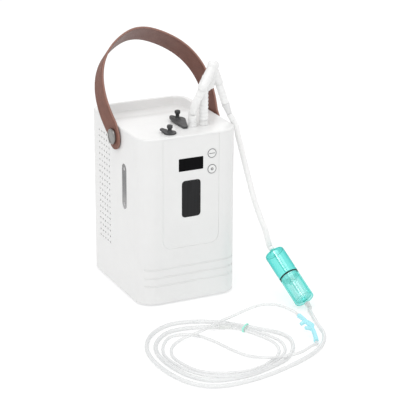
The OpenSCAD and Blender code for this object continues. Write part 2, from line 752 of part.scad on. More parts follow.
// Tapered prong with a round tip
module prong(start, end, length) {
  along(start, end) {
    cylinder(r1 = 2.6, r2 = 2.1, h = length);
    translate([0, 0, length]) sphere(2.1, $fn = 24);
  }
}
module nosepiece() {
  color([0.3, 0.7, 0.85]) union() {
    sweep(nose_path, 2.7, 12);
    // sockets for the two thin tubes
    along(nose_path[0], nose_path[2]) cylinder(r = 3.3, h = 9);
    along(nose_path[nose_last], nose_path[nose_last - 2]) cylinder(r = 3.3, h = 9);
    prong([101.2, -294, 12], [90, -292.8, 16], 11);
    prong([100.9, -275, 16.6], [91.4, -276.2, 14.6], 8.5);
    // small flap on the side away from the prongs
    translate([102.6, -284.5, 16.2]) rotate([12, -58, 0])
      linear_extrude(1.4, center = true) pill(7, 17);
  }
}

// Flat band round the crossing tubes
tie_mid = [24.3, -232.9, 4.2];
tie_reach = 1.3 * [0.65, -0.76, 0];
module coil_tie() {
  color([0.1, 0.6, 0.45]) along(tie_mid - tie_reach, tie_mid + tie_reach)
    linear_extrude(2.6) difference() {
      pill(8.4, 21);
      pill(6.6, 19);
    }
}

// ---------- rear of the case ----------

module filter_cover() {
  color(white) difference() {
    union() {
      slab(0, filter_z, half_d, half_d + 3) rounded(92, 72, 6);
      slab(0, filter_z, half_d - 2.6, half_d + 0.1) difference() {
        rounded(83.6, 63.6, 3.8);
        rounded(79.6, 59.6, 2);
      }
    }
    for (i = [-4:4])
      slab(0, filter_z + i * 6.4, half_d - 1, half_d + 5) rotate([0, 0, 90]) pill(3, 72);
  }
}
module filter_foam() {
  color(dark) slab(0, filter_z, half_d - 9, half_d - 2.9) rounded(90, 70, 3);
}

module inlet_bore() { rounded(24, 16.4, 2.4); }
module power_inlet() {
  color(dark) union() {
    difference() {
      slab(inlet_x, inlet_z, half_d - 20, half_d - 0.1) rounded(27, 20, 2.9);
      // socket round three pins
      slab(inlet_x, inlet_z, half_d - 15, half_d + 2) difference() {
        inlet_bore();
        for (pin = [[-7, -1], [0, 2], [7, -1]]) translate(pin) square([2, 4], center = true);
      }
    }
    slab(inlet_x, inlet_z, half_d - 0.1, half_d + 1.2) difference() {
      rounded(31, 24, 3);
      inlet_bore();
    }
  }
}
module rocker_switch() {
  color(dark) translate([inlet_x, half_d - 0.6, switch_z]) rotate([90, 0, 90])
    linear_extrude(16, center = true) polygon([[-9, -4.4], [-2.4, -6], [0.8, -5.6],
      [1.4, -3.4], [0.4, 0], [2.8, 5.2], [1.4, 5.8], [-2.4, 5.2], [-9, 4.4]]);
}

module fan_holes() { for (x = both, y = both) translate([x * 25, y * 25]) circle(2); }
module fan_frame() {
  color(dark) translate([fan_x, half_d - 13.5, fan_z]) rotate([-90, 0, 0]) union() {
    linear_extrude(10) difference() {
      rounded(60, 60, 5);
      circle(28.4);
      fan_holes();
    }
    // four struts, a hub plate and the bearing pin
    linear_extrude(1.1) difference() {
      union() {
        circle(10);
        for (a = [45, 135]) rotate(a) square([64, 4], center = true);
      }
      fan_holes();
    }
    rod_z([0, 0, 1], 2, 4.6);
  }
}
module fan_rotor() {
  color(grey) translate([fan_x, half_d - 5.6, fan_z]) rotate([90, 0, 0]) union() {
    difference() {
      cylinder(r = 11, h = 6.6);
      rod_z([0, 0, 1.8], 2.05, 6);
    }
    for (i = [0:6]) rotate([0, 0, i * 360 / 7]) translate([10, 0, 3.3]) rotate([34, 0, 0])
      translate([0, -0.7, -2.6]) cube([16.6, 1.4, 5.2]);
  }
}

// ---------- compressor, crank along Y ----------

crank_y = -48;   // middle of the cylinders
crank_z = 60;
crank_at = [0, crank_y, crank_z];
mount_x = 26;
mount_y = [crank_y + 22, 16];

module at_mounts(z) {
  for (side = both, y = mount_y) translate([side * mount_x, y, z]) children();
}
module compressor_body() {
  color([0.6, 0.62, 0.64]) difference() {
    union() {
      // crankcase, motor can and two cylinders
      translate(crank_at) box([-23, -13, -24], [23, 15, 22]);
      rod_y(crank_at + [0, 14, 0], 30, 60);
      for (side = both) rod_x(crank_at + [side * 22, 0, 0], 17, 26, side);
      // pads over the mounts, and a plinth
      at_mounts(20.1) box([-8, -8, 0], [8, 8, 5.9]);
      box([-31, crank_y + 16, 24], [31, 22, 36]);
    }
    rod_x(crank_at - [47.9, 0, 0], 12.5, 95.8);
    translate(crank_at) box([-20, -10, -20], [20, 11, 19]);
    rod_y(crank_at + [0, 10, 0], 4.05, 80);
    at_mounts(10) cylinder(r = 2.6, h = 30);
  }
}
module compressor_crank() {
  color([0.5, 0.5, 0.52]) translate(crank_at) rotate([-90, 0, 0]) union() {
    // shaft, eccentric and counterweight
    rod_z([0, 0, -8], 4, 96);
    rod_z([2.5, 0, -3], 8, 6);
    translate([0, 0, 3.2]) linear_extrude(4) intersection() {
      circle(16);
      translate([-17, -12]) square([16, 24]);
    }
    // fan on the rear end
    rod_z([0, 0, 78], 8, 8);
    for (i = [0:8]) rotate([0, 0, i * 40]) translate([7, 0, 82]) rotate([30, 0, 0])
      translate([0, -0.8, -3]) cube([19, 1.6, 6]);
  }
}
module cylinder_heads() {
  color([0.55, 0.57, 0.6]) for (side = both) translate(crank_at) union() {
    side_box(side, 48.1, 58, [-17, -17], [17, 17]);
    for (z = [-10, 10]) rod_x([side * 57.5, 0, z], 3.2, 8, side);
  }
}
module piston(side) {
  translate(crank_at) union() {
    rod_x([side * 39.5, 0, 0], 12.44, 4, side);
    side_box(side, 12, 40, [-2.5, -4], [2.5, 4]);
  }
}
module piston_left() { color([0.75, 0.75, 0.77]) piston(-1); }
module piston_right() { color([0.75, 0.75, 0.77]) piston(1); }
module compressor_mounts() {
  color(dark) at_mounts(foot_h + tray_t) turned([[0, 0.02], [8, 0.02], [8, 3], [6, 5], [6, 9],
    [8, 12], [8, 14], [2.5, 14], [2.5, 22], [0, 22]]);
}

// ---------- gas separation ----------

module sieve_beds() {
  color([0.7, 0.72, 0.74]) for (x = [-52, -13]) translate([x, 56, 108]) union() {
    cylinder(r = 17, h = 126);
    for (z = [4, 114]) rod_z([0, 0, z], 18.4, 8);
    rod_z([0, 0, 125.5], 3, 7);
  }
}
module sieve_manifold() {
  color([0.35, 0.36, 0.38]) difference() {
    box([-72, 38, 97], [6, 75, 107.9]);
    for (x = [-66, 0]) rod_z([x, 44, 90], 1.8, 30);
  }
}
module solenoid_valves() {
  color([0.15, 0.17, 0.2]) for (x = [-58, -33, -8]) union() {
    box([x - 8, 22, 97], [x + 8, 37.9, 111]);
    rod_z([x, 29, 110], 5.5, 16);
  }
}
module oxygen_buffer() {
  color([0.75, 0.77, 0.78]) translate([30, 58, 118]) union() {
    cylinder(r = 15, h = 104);
    rod_z([0, 0, 103], 3, 9);
  }
}
module intake_silencer() {
  color([0.3, 0.3, 0.32]) translate([50, -62, 92]) union() {
    cylinder(r = 15, h = 62);
    rod_z([0, 0, 61], 4, 8);
  }
}
module pressure_regulator() {
  color([0.7, 0.6, 0.35]) translate([42, -24, 176]) union() {
    cylinder(r = 10, h = 14);
    rod_z([0, 0, 13], 6, 12);
    box([-14, -4, 3], [14, 4, 11]);
  }
}

// ---------- electronics ----------

module main_board() {
  board_face = 71.1;
  color(board_green) union() {
    box([71, -60, 100], [72.6, 46, 226]);
    // parts on the inner face
    box([65, -50, 190], [board_face, -30, 214]);
    box([65, -12, 150], [board_face, 12, 174]);
    for (y = [24, 34]) rod_x([board_face, y, 130], 4, 6, -1);
    box([66, -54, 104], [board_face, -10, 112]);
  }
}
module power_supply() {
  color([0.62, 0.63, 0.64]) difference() {
    box([51, -2, 116], [64.5, 76, 222]);
    for (i = [0:5], k = [0:9]) rod_x([50, 8 + i * 11, 124 + k * 10], 2.4, 3);
  }
}

// ---------- internal tubes ----------

line_r = 2.6;
outlet_line_top = top_z - 16.5;
// Stations leaving one cylinder head
function head_exit(side) = [
  for (p = [[66.3, 0, 10], [67.5, 0, 10], [70.5, 1.5, 11], [72.6, 8, 16]])
    crank_at + [side * p[0], p[1], p[2]]];
module air_lines() {
  color(clear) {
    tube(concat(head_exit(1), [[71, -28, 85], [60, 0, 92], [44, 16, 100], [20, 26, 118],
      [8, 29, 119.6], [0, 29, 120], [-2, 29, 120]]), line_r, off_axis = [0, 0.3, 1]);
    tube(concat(head_exit(-1), [[-72, -28, 85], [-72, -6, 98], [-73, 12, 110],
      [-72, 25, 118], [-68, 29, 120], [-65.6, 29, 120], [-64, 29, 120]]),
      line_r, off_axis = [1, 0, 0.2]);
  }
}
module outlet_lines() {
  color(clear) {
    // buffer to regulator
    tube([[30, 58, 231.3], [30, 58, 233], [30.5, 54, 237], [33, 40, 239], [39, 10, 237],
      [42, -16, 226], [42, -24, 212], [42, -24, 204], [42, -24, 201.5]],
      line_r, off_axis = [1, 0, 0]);
    // regulator to outlet a
    tube([[57.3, -24, 183], [58.6, -24, 183], [60.5, -28, 185], [58.5, -42, 194],
      [50, -54, 210], at(outlet_a, 234), at(outlet_a, 241), at(outlet_a, outlet_line_top)],
      line_r, off_axis = [0, 0.5, 1]);
    // tank lid to outlet b
    tube([for (z = [tank_top + 3.4, 224, 234, outlet_line_top]) at(outlet_b, z)],
      line_r, off_axis = [1, 0, 0]);
  }
}

// ---------- assembly ----------

housing();
top_cover();
rear_panel();
base_tray();
rubber_foot_strip();
case_screws();
display_lens();
display_module();
control_board();
power_button();
set_button();
front_window();
water_level_window();
water_tank();
tank_lid();
leather_strap();
strap_bolts();
strap_washers();
rear_plug();
front_plug();
outlet_fitting_a();
outlet_fitting_b();
ribbed_leg_hose();
smooth_leg_hose();
hose_manifold();
branch_hose();
hose_joiner();
long_hose();
trap_upper_cup();
trap_lower_cup();
trap_seal();
trap_dip_tube();
supply_tube();
tube_splitter();
cannula_tube_a();
cannula_tube_b();
nosepiece();
coil_tie();
filter_cover();
filter_foam();
power_inlet();
rocker_switch();
compressor_body();
compressor_crank();
cylinder_heads();
piston_left();
piston_right();
compressor_mounts();
sieve_beds();
sieve_manifold();
solenoid_valves();
oxygen_buffer();
intake_silencer();
pressure_regulator();
fan_frame();
fan_rotor();
main_board();
power_supply();
air_lines();
outlet_lines();
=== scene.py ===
"""Oxygen concentrator with a carrying strap, outlet hoses, a water trap and a cannula.

The case stands on z = 0, centred on x and y, with its front towards -Y. The hoses leave
the lid, drop on the +X side to the trap and run on to a coil lying in front of the case.
Shapes are in millimetres and are scaled to metres in make(); materials, lights and the
camera are in metres.
"""
import bpy, bmesh, math
from mathutils import Vector, Matrix


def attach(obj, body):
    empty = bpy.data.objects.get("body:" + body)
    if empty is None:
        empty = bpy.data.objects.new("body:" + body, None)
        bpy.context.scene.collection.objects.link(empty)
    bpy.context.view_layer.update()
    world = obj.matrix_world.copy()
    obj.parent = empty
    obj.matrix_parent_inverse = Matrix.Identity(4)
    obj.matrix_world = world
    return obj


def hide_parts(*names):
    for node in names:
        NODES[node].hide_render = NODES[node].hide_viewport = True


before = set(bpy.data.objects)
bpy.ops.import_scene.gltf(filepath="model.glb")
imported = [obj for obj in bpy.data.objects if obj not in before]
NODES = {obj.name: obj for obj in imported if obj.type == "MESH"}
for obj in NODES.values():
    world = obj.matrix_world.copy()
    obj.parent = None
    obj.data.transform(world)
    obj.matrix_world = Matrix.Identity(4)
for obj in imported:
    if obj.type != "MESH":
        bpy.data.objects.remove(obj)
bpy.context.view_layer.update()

MM = 0.001
UP = Vector((0, 0, 1))

# case
HALF_WIDTH, HALF_DEPTH, TOP = 80.0, 100.0, 261.0
FRONT_CORNER, REAR_CORNER = 28.0, 26.0      # corner radii in plan
REAR_PORT, FRONT_PORT = (11.1, -27.8), (-25.5, -80.5)
OUTLET_A, OUTLET_B = (38.7, -60.4), (20.1, -61.1)
LEVEL_LOW, LEVEL_HIGH = 138, 209            # ends of the water level window

# strap
PIVOT = Vector((0, -8, 244))
STRAP_ARM, STRAP_THICK, STRAP_WIDTH, STRAP_RISE = 83.0, 3.2, 40.5, 161.0
STRAP_LEAN = math.radians(39.5)

# ------------------------------------------------------------------ shader building

MATS = {}


def scaled(color, factor):
    return tuple(c * factor for c in color)


class Shader:
    """Node tree of one material, with short calls for the nodes used most."""

    def __init__(self, name):
        self.name = name
        self.material = bpy.data.materials.new(name)
        self.material.use_nodes = True
        self.tree = self.material.node_tree
        self.tree.nodes.clear()
        self.output = self.tree.nodes.new("ShaderNodeOutputMaterial")

    def put(self, value, socket):
        """Links an output to the socket, or sets a plain value; colours get alpha 1."""
        if isinstance(value, bpy.types.NodeSocket):
            self.tree.links.new(value, socket)
        elif socket.type == "RGBA":
            socket.default_value = (*value, 1)
        else:
            socket.default_value = value

    def add(self, kind, inputs, **settings):
        new = self.tree.nodes.new("ShaderNode" + kind)
        for key, value in settings.items():
            setattr(new, key, value)
        for key, value in inputs.items():
            self.put(value, new.inputs[key])
        return new

    def coord(self):
        return self.add("TexCoord", {}).outputs["Object"]

    def mapped(self, **inputs):
        return self.add("Mapping", {**inputs, "Vector": self.coord()}).outputs[0]

    def split(self, vector):
        return self.add("SeparateXYZ", {0: vector}).outputs

    def noise(self, scale, detail=3.0, roughness=0.55, vector=None):
        return self.add("TexNoise", {
            "Scale": scale, "Detail": detail, "Roughness": roughness,
            "Vector": vector or self.coord()}).outputs["Fac"]

    def voronoi(self, scale, vector=None, **settings):
        return self.add("TexVoronoi", {"Scale": scale, "Vector": vector or self.coord()},
                        **settings)

    def remap(self, value, to=(0, 1), span=(0.3, 0.7)):
        """Maps span onto to; the usual span is the middle of a noise texture."""
        return self.add("MapRange", {
            "From Min": span[0], "From Max": span[1],
            "To Min": to[0], "To Max": to[1], "Value": value}).outputs["Result"]

    def mix(self, factor, first, second, mode="MIX"):
        return self.add("Mix", {6: first, 7: second, 0: factor},
                        data_type="RGBA", blend_type=mode).outputs[2]

    def mix_shader(self, factor, first, second):
        return self.add("MixShader", {0: factor, 1: first, 2: second}).outputs[0]

    def bump(self, height, strength, distance, normal=None):
        inputs = {"Strength": strength, "Distance": distance, "Height": height}
        if normal is not None:
            inputs["Normal"] = normal
        return self.add("Bump", inputs).outputs["Normal"]

    def bevel(self, radius):
        return self.add("Bevel", {"Radius": radius}, samples=4).outputs["Normal"]

    def principled(self, color, roughness, normal=None, **inputs):
        """Extra inputs are named with underscores for spaces."""
        sockets = {"Base Color": color, "Roughness": roughness}
        if normal is not None:
            sockets["Normal"] = normal
        sockets.update({key.replace("_", " "): value for key, value in inputs.items()})
        return self.add("BsdfPrincipled", sockets).outputs[0]

    def finish(self, surface):
        self.put(surface, self.output.inputs[0])
        MATS[self.name] = self.material


# ------------------------------------------------------------------ materials

def plastic(name, color, rough, grain, grain_depth, spread,
            edge=0.0, coat=0.0, specular=0.5, subsurface=0.0, metallic=0.0, sheen=0.0):
    """Moulded plastic, rubber or cast metal: mottled colour, uneven gloss, fine grain."""
    sh = Shader(name)
    light = tuple(min(1, c * (1 + spread)) for c in color)
    inputs = {}
    if subsurface:
        inputs = dict(Subsurface_Weight=subsurface, Subsurface_Radius=(0.004, 0.004, 0.004),
                      Subsurface_Scale=1.0)
    patches = sh.remap(sh.noise(scale=28, detail=4))
    sh.finish(sh.principled(
        color=sh.mix(patches, scaled(color, 1 - spread), light),
        roughness=sh.remap(sh.noise(scale=140), to=(max(0.03, rough - 0.06),
                                                    min(1, rough + 0.06))),
        normal=sh.bump(sh.noise(scale=grain, detail=2), strength=grain_depth,
                       distance=0.0002, normal=sh.bevel(edge) if edge > 0 else None),
        Metallic=metallic, Specular_IOR_Level=specular,
        Coat_Weight=coat, Coat_Roughness=0.08, Sheen_Weight=sheen, **inputs))


def metal(name, color, rough, stretch, edge=0.0004):
    """Machined or drawn metal: fine lines along one direction and a little tarnish."""
    sh = Shader(name)
    lines = sh.noise(scale=1.0, detail=2, vector=sh.mapped(Scale=stretch))
    stain = sh.noise(scale=60, detail=4)
    sh.finish(sh.principled(
        color=sh.mix(sh.remap(stain), scaled(color, 0.9), color),
        roughness=sh.remap(lines, to=(rough - 0.08, rough + 0.1)),
        normal=sh.bump(lines, strength=0.15, distance=0.00005, normal=sh.bevel(edge)),
        Metallic=1.0, Anisotropic=0.3))


def turned(name, color, rough):
    """Turned disc facing sideways: rings round the strap bolts' axis."""
    sh = Shader(name)
    _, y, z = sh.split(sh.mapped(Location=(0, -PIVOT.y * MM, -PIVOT.z * MM)))
    across = sh.add("CombineXYZ", {0: y, 1: z}).outputs[0]
    radius = sh.add("VectorMath", {0: across}, operation="LENGTH").outputs["Value"]
    rings = sh.noise(scale=2600, detail=2,
                     vector=sh.add("CombineXYZ", {0: radius}).outputs[0])
    stain = sh.noise(scale=120, detail=4)
    sh.finish(sh.principled(
        color=sh.mix(sh.remap(stain), scaled(color, 0.85), color),
        roughness=sh.remap(rings, to=(rough - 0.08, rough + 0.12)),
        normal=sh.bump(rings, strength=0.3, distance=0.00008),
        Metallic=1.0))


def leather(name):
    """Pebbled grain with painted shade in its creases, worn colour, edge paint, and a lining with
    a painted sheen that makes it lighter and greyer towards -X.
    """
    sh = Shader(name)
    edge = sh.add("Attribute", {}, attribute_name="edge").outputs["Fac"]
    inner = sh.add("Attribute", {}, attribute_name="inner").outputs["Fac"]
    patch = sh.noise(scale=55, detail=5, roughness=0.6)
    fine = sh.noise(scale=420, detail=4, roughness=0.6)
    wobble = sh.add("TexNoise", {"Scale": 260, "Vector": sh.coord()}).outputs["Color"]
    # input 0 is the share of wobble in the pebble coordinates
    warped = sh.add("Mix", {0: 0.004, 4: sh.coord(), 5: wobble}, data_type="VECTOR")
    pebbles = sh.voronoi(900, warped.outputs[1],
                         feature="DISTANCE_TO_EDGE").outputs["Distance"]

    outer_color = sh.mix(sh.remap(patch), (0.172, 0.073, 0.053), (0.228, 0.100, 0.073))
    # painted sheen: the lining goes from a lighter grey at -X to a deeper red at +X
    sheen_falloff = sh.remap(sh.split(sh.coord())[0], span=(-0.055, 0.075))
    low = sh.mix(sheen_falloff, (0.277, 0.203, 0.190), (0.153, 0.060, 0.044))
    high = sh.mix(sheen_falloff, (0.321, 0.242, 0.227), (0.193, 0.083, 0.062))
    inner_color = sh.mix(sh.remap(patch), low, high)
    color = sh.mix(inner, outer_color, inner_color)
    color = sh.mix(edge, color, (0.320, 0.172, 0.138))
    # painted shade: the colour is darkened in the creases between the pebbles
    crease_shade = sh.remap(pebbles, to=(0.72, 1.0), span=(0.0, 0.12))
    color = sh.mix(1.0, color, crease_shade, "MULTIPLY")
    color = sh.mix(sh.remap(fine, to=(0.0, 0.12)), color, (0.30, 0.18, 0.15))
    # pebbles count three times as much as the fine grain in the relief
    height = sh.add("Math", {0: pebbles, 1: 3.0, 2: fine}, operation="MULTIPLY_ADD")
    sh.finish(sh.principled(
        color=color,
        roughness=sh.remap(fine, to=(0.50, 0.70)),
        normal=sh.bump(height.outputs[0], strength=0.32, distance=0.00016),
        Specular_IOR_Level=0.2))


def clear_vinyl(name, tint, shade, centre, rim, rough, grain=500, glow=0.0):
    """See-through soft plastic; centre and rim are its density square on and edge on; glow adds a
    painted glow of the tint.
    """
    sh = Shader(name)
    facing = sh.add("LayerWeight", {"Blend": 0.45}).outputs["Facing"]
    cloud = sh.remap(sh.noise(scale=45))
    clear = sh.add("BsdfTransparent", {"Color": sh.mix(cloud, scaled(tint, 0.97), tint)})
    inputs = dict(Emission_Color=tint, Emission_Strength=glow) if glow else {}
    body = sh.principled(
        color=sh.mix(facing, tint, shade),
        roughness=sh.remap(sh.noise(scale=160), to=(rough - 0.05, rough + 0.06)),
        normal=sh.bump(sh.noise(scale=grain), strength=0.06, distance=0.0002), **inputs)
    density = sh.remap(facing, to=(centre, rim), span=(0.0, 1.0))
    sh.finish(sh.mix_shader(density, clear.outputs[0], body))


def teal(name, tint, deep):
    """Clear tinted moulding: walls tint what is behind, rims go deep, one side carries painted
    shade, surface is glossy.
    """
    sh = Shader(name)
    facing = sh.add("LayerWeight", {"Blend": 0.5}).outputs["Facing"]
    cloud = sh.remap(sh.noise(scale=60))
    thin = sh.mix(cloud, scaled(tint, 0.985), tint)
    # painted shade: walls turned towards this direction are tinted deeper, as the trap looks
    # darker on that side
    painted_shade_side = (0.86, -0.24, 0.45)
    normal = sh.add("NewGeometry", {}).outputs["Normal"]
    turn = sh.add("VectorMath", {0: normal, 1: painted_shade_side}, operation="DOT_PRODUCT")
    side = sh.remap(turn.outputs["Value"], to=(0.0, 0.62), span=(0.30, 0.90))
    ring = sh.remap(facing, span=(0.30, 0.85))
    depth = sh.add("Math", {0: ring, 1: side}, operation="ADD", use_clamp=True).outputs[0]
    clear = sh.add("BsdfTransparent", {"Color": sh.mix(depth, thin, deep)})
    body = sh.principled(color=(0.02, 0.58, 0.54), roughness=0.3)
    wall = sh.mix_shader(sh.remap(facing, to=(0.02, 0.5), span=(0.45, 1.0)),
                         clear.outputs[0], body)
    gloss = sh.add("BsdfAnisotropic", {
        "Roughness": sh.remap(sh.noise(scale=160), to=(0.05, 0.12)),
        "Normal": sh.bump(sh.noise(scale=300), strength=0.05, distance=0.0002)})
    # only the outer side of a wall shines
    backfacing = sh.add("NewGeometry", {}).outputs["Backfacing"]
    front = sh.add("Math", {0: 1.0, 1: backfacing}, operation="SUBTRACT").outputs[0]
    shine = sh.remap(facing, to=(0.12, 0.20), span=(0.55, 1.0))
    amount = sh.add("Math", {0: shine, 1: front}, operation="MULTIPLY").outputs[0]
    sh.finish(sh.mix_shader(amount, wall, gloss.outputs[0]))


def board(name):
    """Circuit board: solder mask with a woven grain, brick-like tracks and bright pads."""
    sh = Shader(name)
    tracks = sh.add("TexBrick", {
        "Scale": 95, "Mortar Size": 0.03, "Color1": (0.012, 0.15, 0.06),
        "Color2": (0.018, 0.19, 0.08), "Mortar": (0.03, 0.30, 0.13),
        "Vector": sh.mapped(Rotation=(1.2, 0.7, 0.4))}, offset=0.37, squash=0.8)
    pads = sh.remap(sh.voronoi(260).outputs["Distance"], to=(1, 0), span=(0.12, 0.16))
    sh.finish(sh.principled(
        color=sh.mix(pads, tracks.outputs["Color"], (0.75, 0.62, 0.32)),
        roughness=0.35,
        normal=sh.bump(sh.noise(scale=1800, detail=2), strength=0.2, distance=0.0001,
                       normal=sh.bevel(0.0002))))


def foam(name):
    sh = Shader(name)
    cells = sh.voronoi(900).outputs["Distance"]
    # painted shade: the middles of the cells, the pits of the foam, are darker
    sh.finish(sh.principled(
        color=sh.mix(sh.remap(cells, span=(0.1, 0.6)),
                     (0.004, 0.004, 0.005), (0.045, 0.045, 0.05)),
        roughness=0.95,
        normal=sh.bump(cells, strength=0.9, distance=0.0006)))


def perforated(name, color):
    """Sheet metal with a regular grid of dark holes."""
    sh = Shader(name)
    grid = sh.voronoi(170)
    grid.inputs["Randomness"].default_value = 0.0
    distance = grid.outputs["Distance"]
    sheet = sh.remap(distance, span=(0.2, 0.24))
    sh.finish(sh.principled(
        color=sh.mix(sheet, (0.03, 0.03, 0.03), color), roughness=0.38,
        normal=sh.bump(distance, strength=0.3, distance=0.0002, normal=sh.bevel(0.0004)),
        Metallic=sheet))


def smoked(name, color, specular, rough, streak):
    """Polished dark lens with faint vertical streaks of painted reflection in its colour."""
    sh = Shader(name)
    # painted reflection: faint vertical streaks lighten and darken the lens colour
    painted_reflection_streaks = sh.noise(scale=1.0, detail=2, vector=sh.mapped(Scale=(240, 1, 14)))
    sh.finish(sh.principled(
        color=sh.mix(sh.remap(painted_reflection_streaks), scaled(color, 1 - streak), scaled(color, 1 + streak)),
        roughness=sh.remap(sh.noise(scale=90), to=(rough - 0.02, rough + 0.03)),
        normal=sh.bump(sh.noise(scale=900, detail=2), strength=0.02, distance=0.0001,
                       normal=sh.bevel(0.0003)),
        Specular_IOR_Level=specular))


def level_window(name):
    """Frosted grey window: lightest at the bottom, darkest two thirds of the way up."""
    sh = Shader(name)
    height = sh.remap(sh.split(sh.coord())[2], span=(LEVEL_LOW * MM, LEVEL_HIGH * MM))
    ramp = sh.add("ValToRGB", {0: height})
    stops = ramp.color_ramp.elements
    stops[0].color = (0.33, 0.33, 0.33, 1)
    stops[1].color = (0.155, 0.155, 0.155, 1)
    stops.new(0.42).color = (0.115, 0.115, 0.118, 1)
    stops.new(0.66).color = (0.09, 0.09, 0.093, 1)
    frost = sh.remap(sh.noise(scale=80), to=(0, 0.15))
    sh.finish(sh.principled(
        color=sh.mix(frost, ramp.outputs[0], (0.40, 0.40, 0.40)),
        roughness=sh.remap(sh.noise(scale=200), to=(0.12, 0.22)),
        normal=sh.bump(sh.noise(scale=700, detail=2), strength=0.05, distance=0.0002,
                       normal=sh.bevel(0.0004))))


def studio_floor(name):
    """Diffuse grey with a constant glow."""
    sh = Shader(name)
    grey = sh.mix(sh.remap(sh.noise(scale=3)), (0.455, 0.455, 0.455), (0.465, 0.465, 0.465))
    diffuse = sh.add("BsdfDiffuse", {"Color": grey})
    glow = sh.add("Emission", {"Strength": 0.57})
    sh.finish(sh.add("AddShader", {0: diffuse.outputs[0], 1: glow.outputs[0]}).outputs[0])


# name, colour, roughness, grain scale, grain depth, colour spread, other settings
PLASTICS = (
    ("shell_white", (0.775, 0.775, 0.77), 0.38, 2400, 0.10, 0.012,
     dict(edge=0.0009, coat=0.05)),
    ("cover_white", (0.79, 0.79, 0.785), 0.34, 2400, 0.08, 0.012, dict(coat=0.08)),
    ("trim_white", (0.80, 0.80, 0.795), 0.35, 2400, 0.08, 0.012,
     dict(edge=0.0005, coat=0.05)),
    ("tray_grey", (0.30, 0.31, 0.32), 0.5, 1800, 0.15, 0.04, dict(edge=0.0006)),
    ("foot_rubber", (0.035, 0.035, 0.038), 0.75, 1500, 0.3, 0.08, dict(edge=0.0004)),
    ("plug_silicone", (0.042, 0.042, 0.044), 0.50, 1100, 0.25, 0.06,
     dict(sheen=0.12, specular=0.4)),
    ("hose_vinyl", (0.84, 0.84, 0.835), 0.30, 1500, 0.08, 0.012,
     dict(subsurface=0.5, coat=0.12)),
    # painted light: the ribbed hose is made lighter than the smooth hose to offset the shade it
    # stands in behind the smooth leg
    ("hose_ribbed_vinyl", (0.90, 0.90, 0.898), 0.28, 1500, 0.08, 0.015,
     dict(subsurface=0.5, coat=0.15)),
    ("manifold_vinyl", (0.80, 0.80, 0.795), 0.27, 1500, 0.06, 0.01,
     dict(subsurface=0.2, coat=0.15)),
    ("joiner_grey", (0.74, 0.74, 0.74), 0.35, 2000, 0.1, 0.02, {}),
    ("button_white", (0.79, 0.79, 0.785), 0.36, 2400, 0.08, 0.01, {}),
    ("button_ring_grey", (0.19, 0.19, 0.195), 0.42, 2000, 0.1, 0.03, {}),
    ("button_mark_grey", (0.12, 0.12, 0.125), 0.45, 2000, 0.1, 0.03, {}),
    ("black_plastic", (0.018, 0.018, 0.019), 0.42, 2000, 0.18, 0.06, dict(edge=0.0005)),
    ("black_gloss", (0.012, 0.012, 0.013), 0.22, 1500, 0.05, 0.05,
     dict(edge=0.0005, coat=0.2)),
    ("washer_nylon", (0.02, 0.02, 0.02), 0.5, 2000, 0.15, 0.05, dict(edge=0.0003)),
    ("mount_rubber", (0.02, 0.02, 0.021), 0.8, 1400, 0.3, 0.08, dict(edge=0.0005)),
    ("seal_rubber", (0.012, 0.012, 0.012), 0.6, 2000, 0.2, 0.05, {}),
    ("cast_aluminium", (0.46, 0.47, 0.48), 0.52, 900, 0.35, 0.07,
     dict(edge=0.0009, metallic=0.9)),
    ("tie_green", (0.34, 0.88, 0.72), 0.4, 2000, 0.1, 0.04, {}),
)
for *row, extras in PLASTICS:
    plastic(*row, **extras)

# name, colour, roughness, noise scale along x, y and z, then the edge radius if not usual
for row in (
    ("screw_steel", (0.55, 0.55, 0.55), 0.32, (600, 600, 600), 0.0002),
    ("shaft_steel", (0.50, 0.50, 0.51), 0.28, (60, 3000, 60)),
    ("machined_aluminium", (0.62, 0.63, 0.64), 0.34, (3000, 60, 60)),
    ("drawn_aluminium", (0.66, 0.67, 0.68), 0.3, (70, 70, 2600)),
    ("regulator_brass", (0.62, 0.46, 0.20), 0.3, (60, 60, 3000)),
):
    metal(*row)

# name, tint, rim colour, density at the centre and rim, roughness, then grain scale
for row in (
    ("tank_clear", (0.86, 0.90, 0.91), (0.45, 0.52, 0.54), 0.15, 0.8, 0.12),
    ("silicone_line", (0.88, 0.90, 0.90), (0.55, 0.58, 0.58), 0.5, 0.95, 0.35),
    ("cannula_vinyl", (0.95, 0.953, 0.953), (0.70, 0.71, 0.715), 0.42, 0.98, 0.16),
    ("supply_vinyl", (0.945, 0.95, 0.95), (0.68, 0.69, 0.695), 0.46, 0.98, 0.18),
    ("supply_cuff_vinyl", (0.93, 0.955, 0.95), (0.86, 0.88, 0.88), 0.35, 0.8, 0.18),
    ("splitter_vinyl", (0.90, 0.91, 0.90), (0.72, 0.74, 0.73), 0.5, 1.0, 0.2),
    ("trap_core", (0.68, 0.968, 0.952), (0.32, 0.84, 0.82), 0.62, 0.92, 0.15, 300),
    ("trap_rim", (0.30, 0.90, 0.87), (0.10, 0.74, 0.71), 0.6, 0.9, 0.12, 300),
):
    clear_vinyl(*row)
# painted glow: the nosepiece gets a faint emission of its own tint, though it is no lamp
clear_vinyl("nosepiece_blue", tint=(0.56, 0.90, 0.93), shade=(0.20, 0.66, 0.80),
            centre=0.72, rim=1.0, rough=0.25, glow=0.07)

teal("trap_teal_dense", tint=(0.42, 0.945, 0.905), deep=(0.13, 0.76, 0.74))
teal("trap_teal_clear", tint=(0.80, 0.979, 0.967), deep=(0.46, 0.94, 0.908))
teal("dip_tube_clear", tint=(0.86, 0.975, 0.965), deep=(0.50, 0.93, 0.90))
turned("bolt_turned", color=(0.31, 0.305, 0.295), rough=0.3)
board("circuit_board")
foam("intake_foam")
perforated("supply_case", color=(0.55, 0.56, 0.57))
leather("strap_leather")
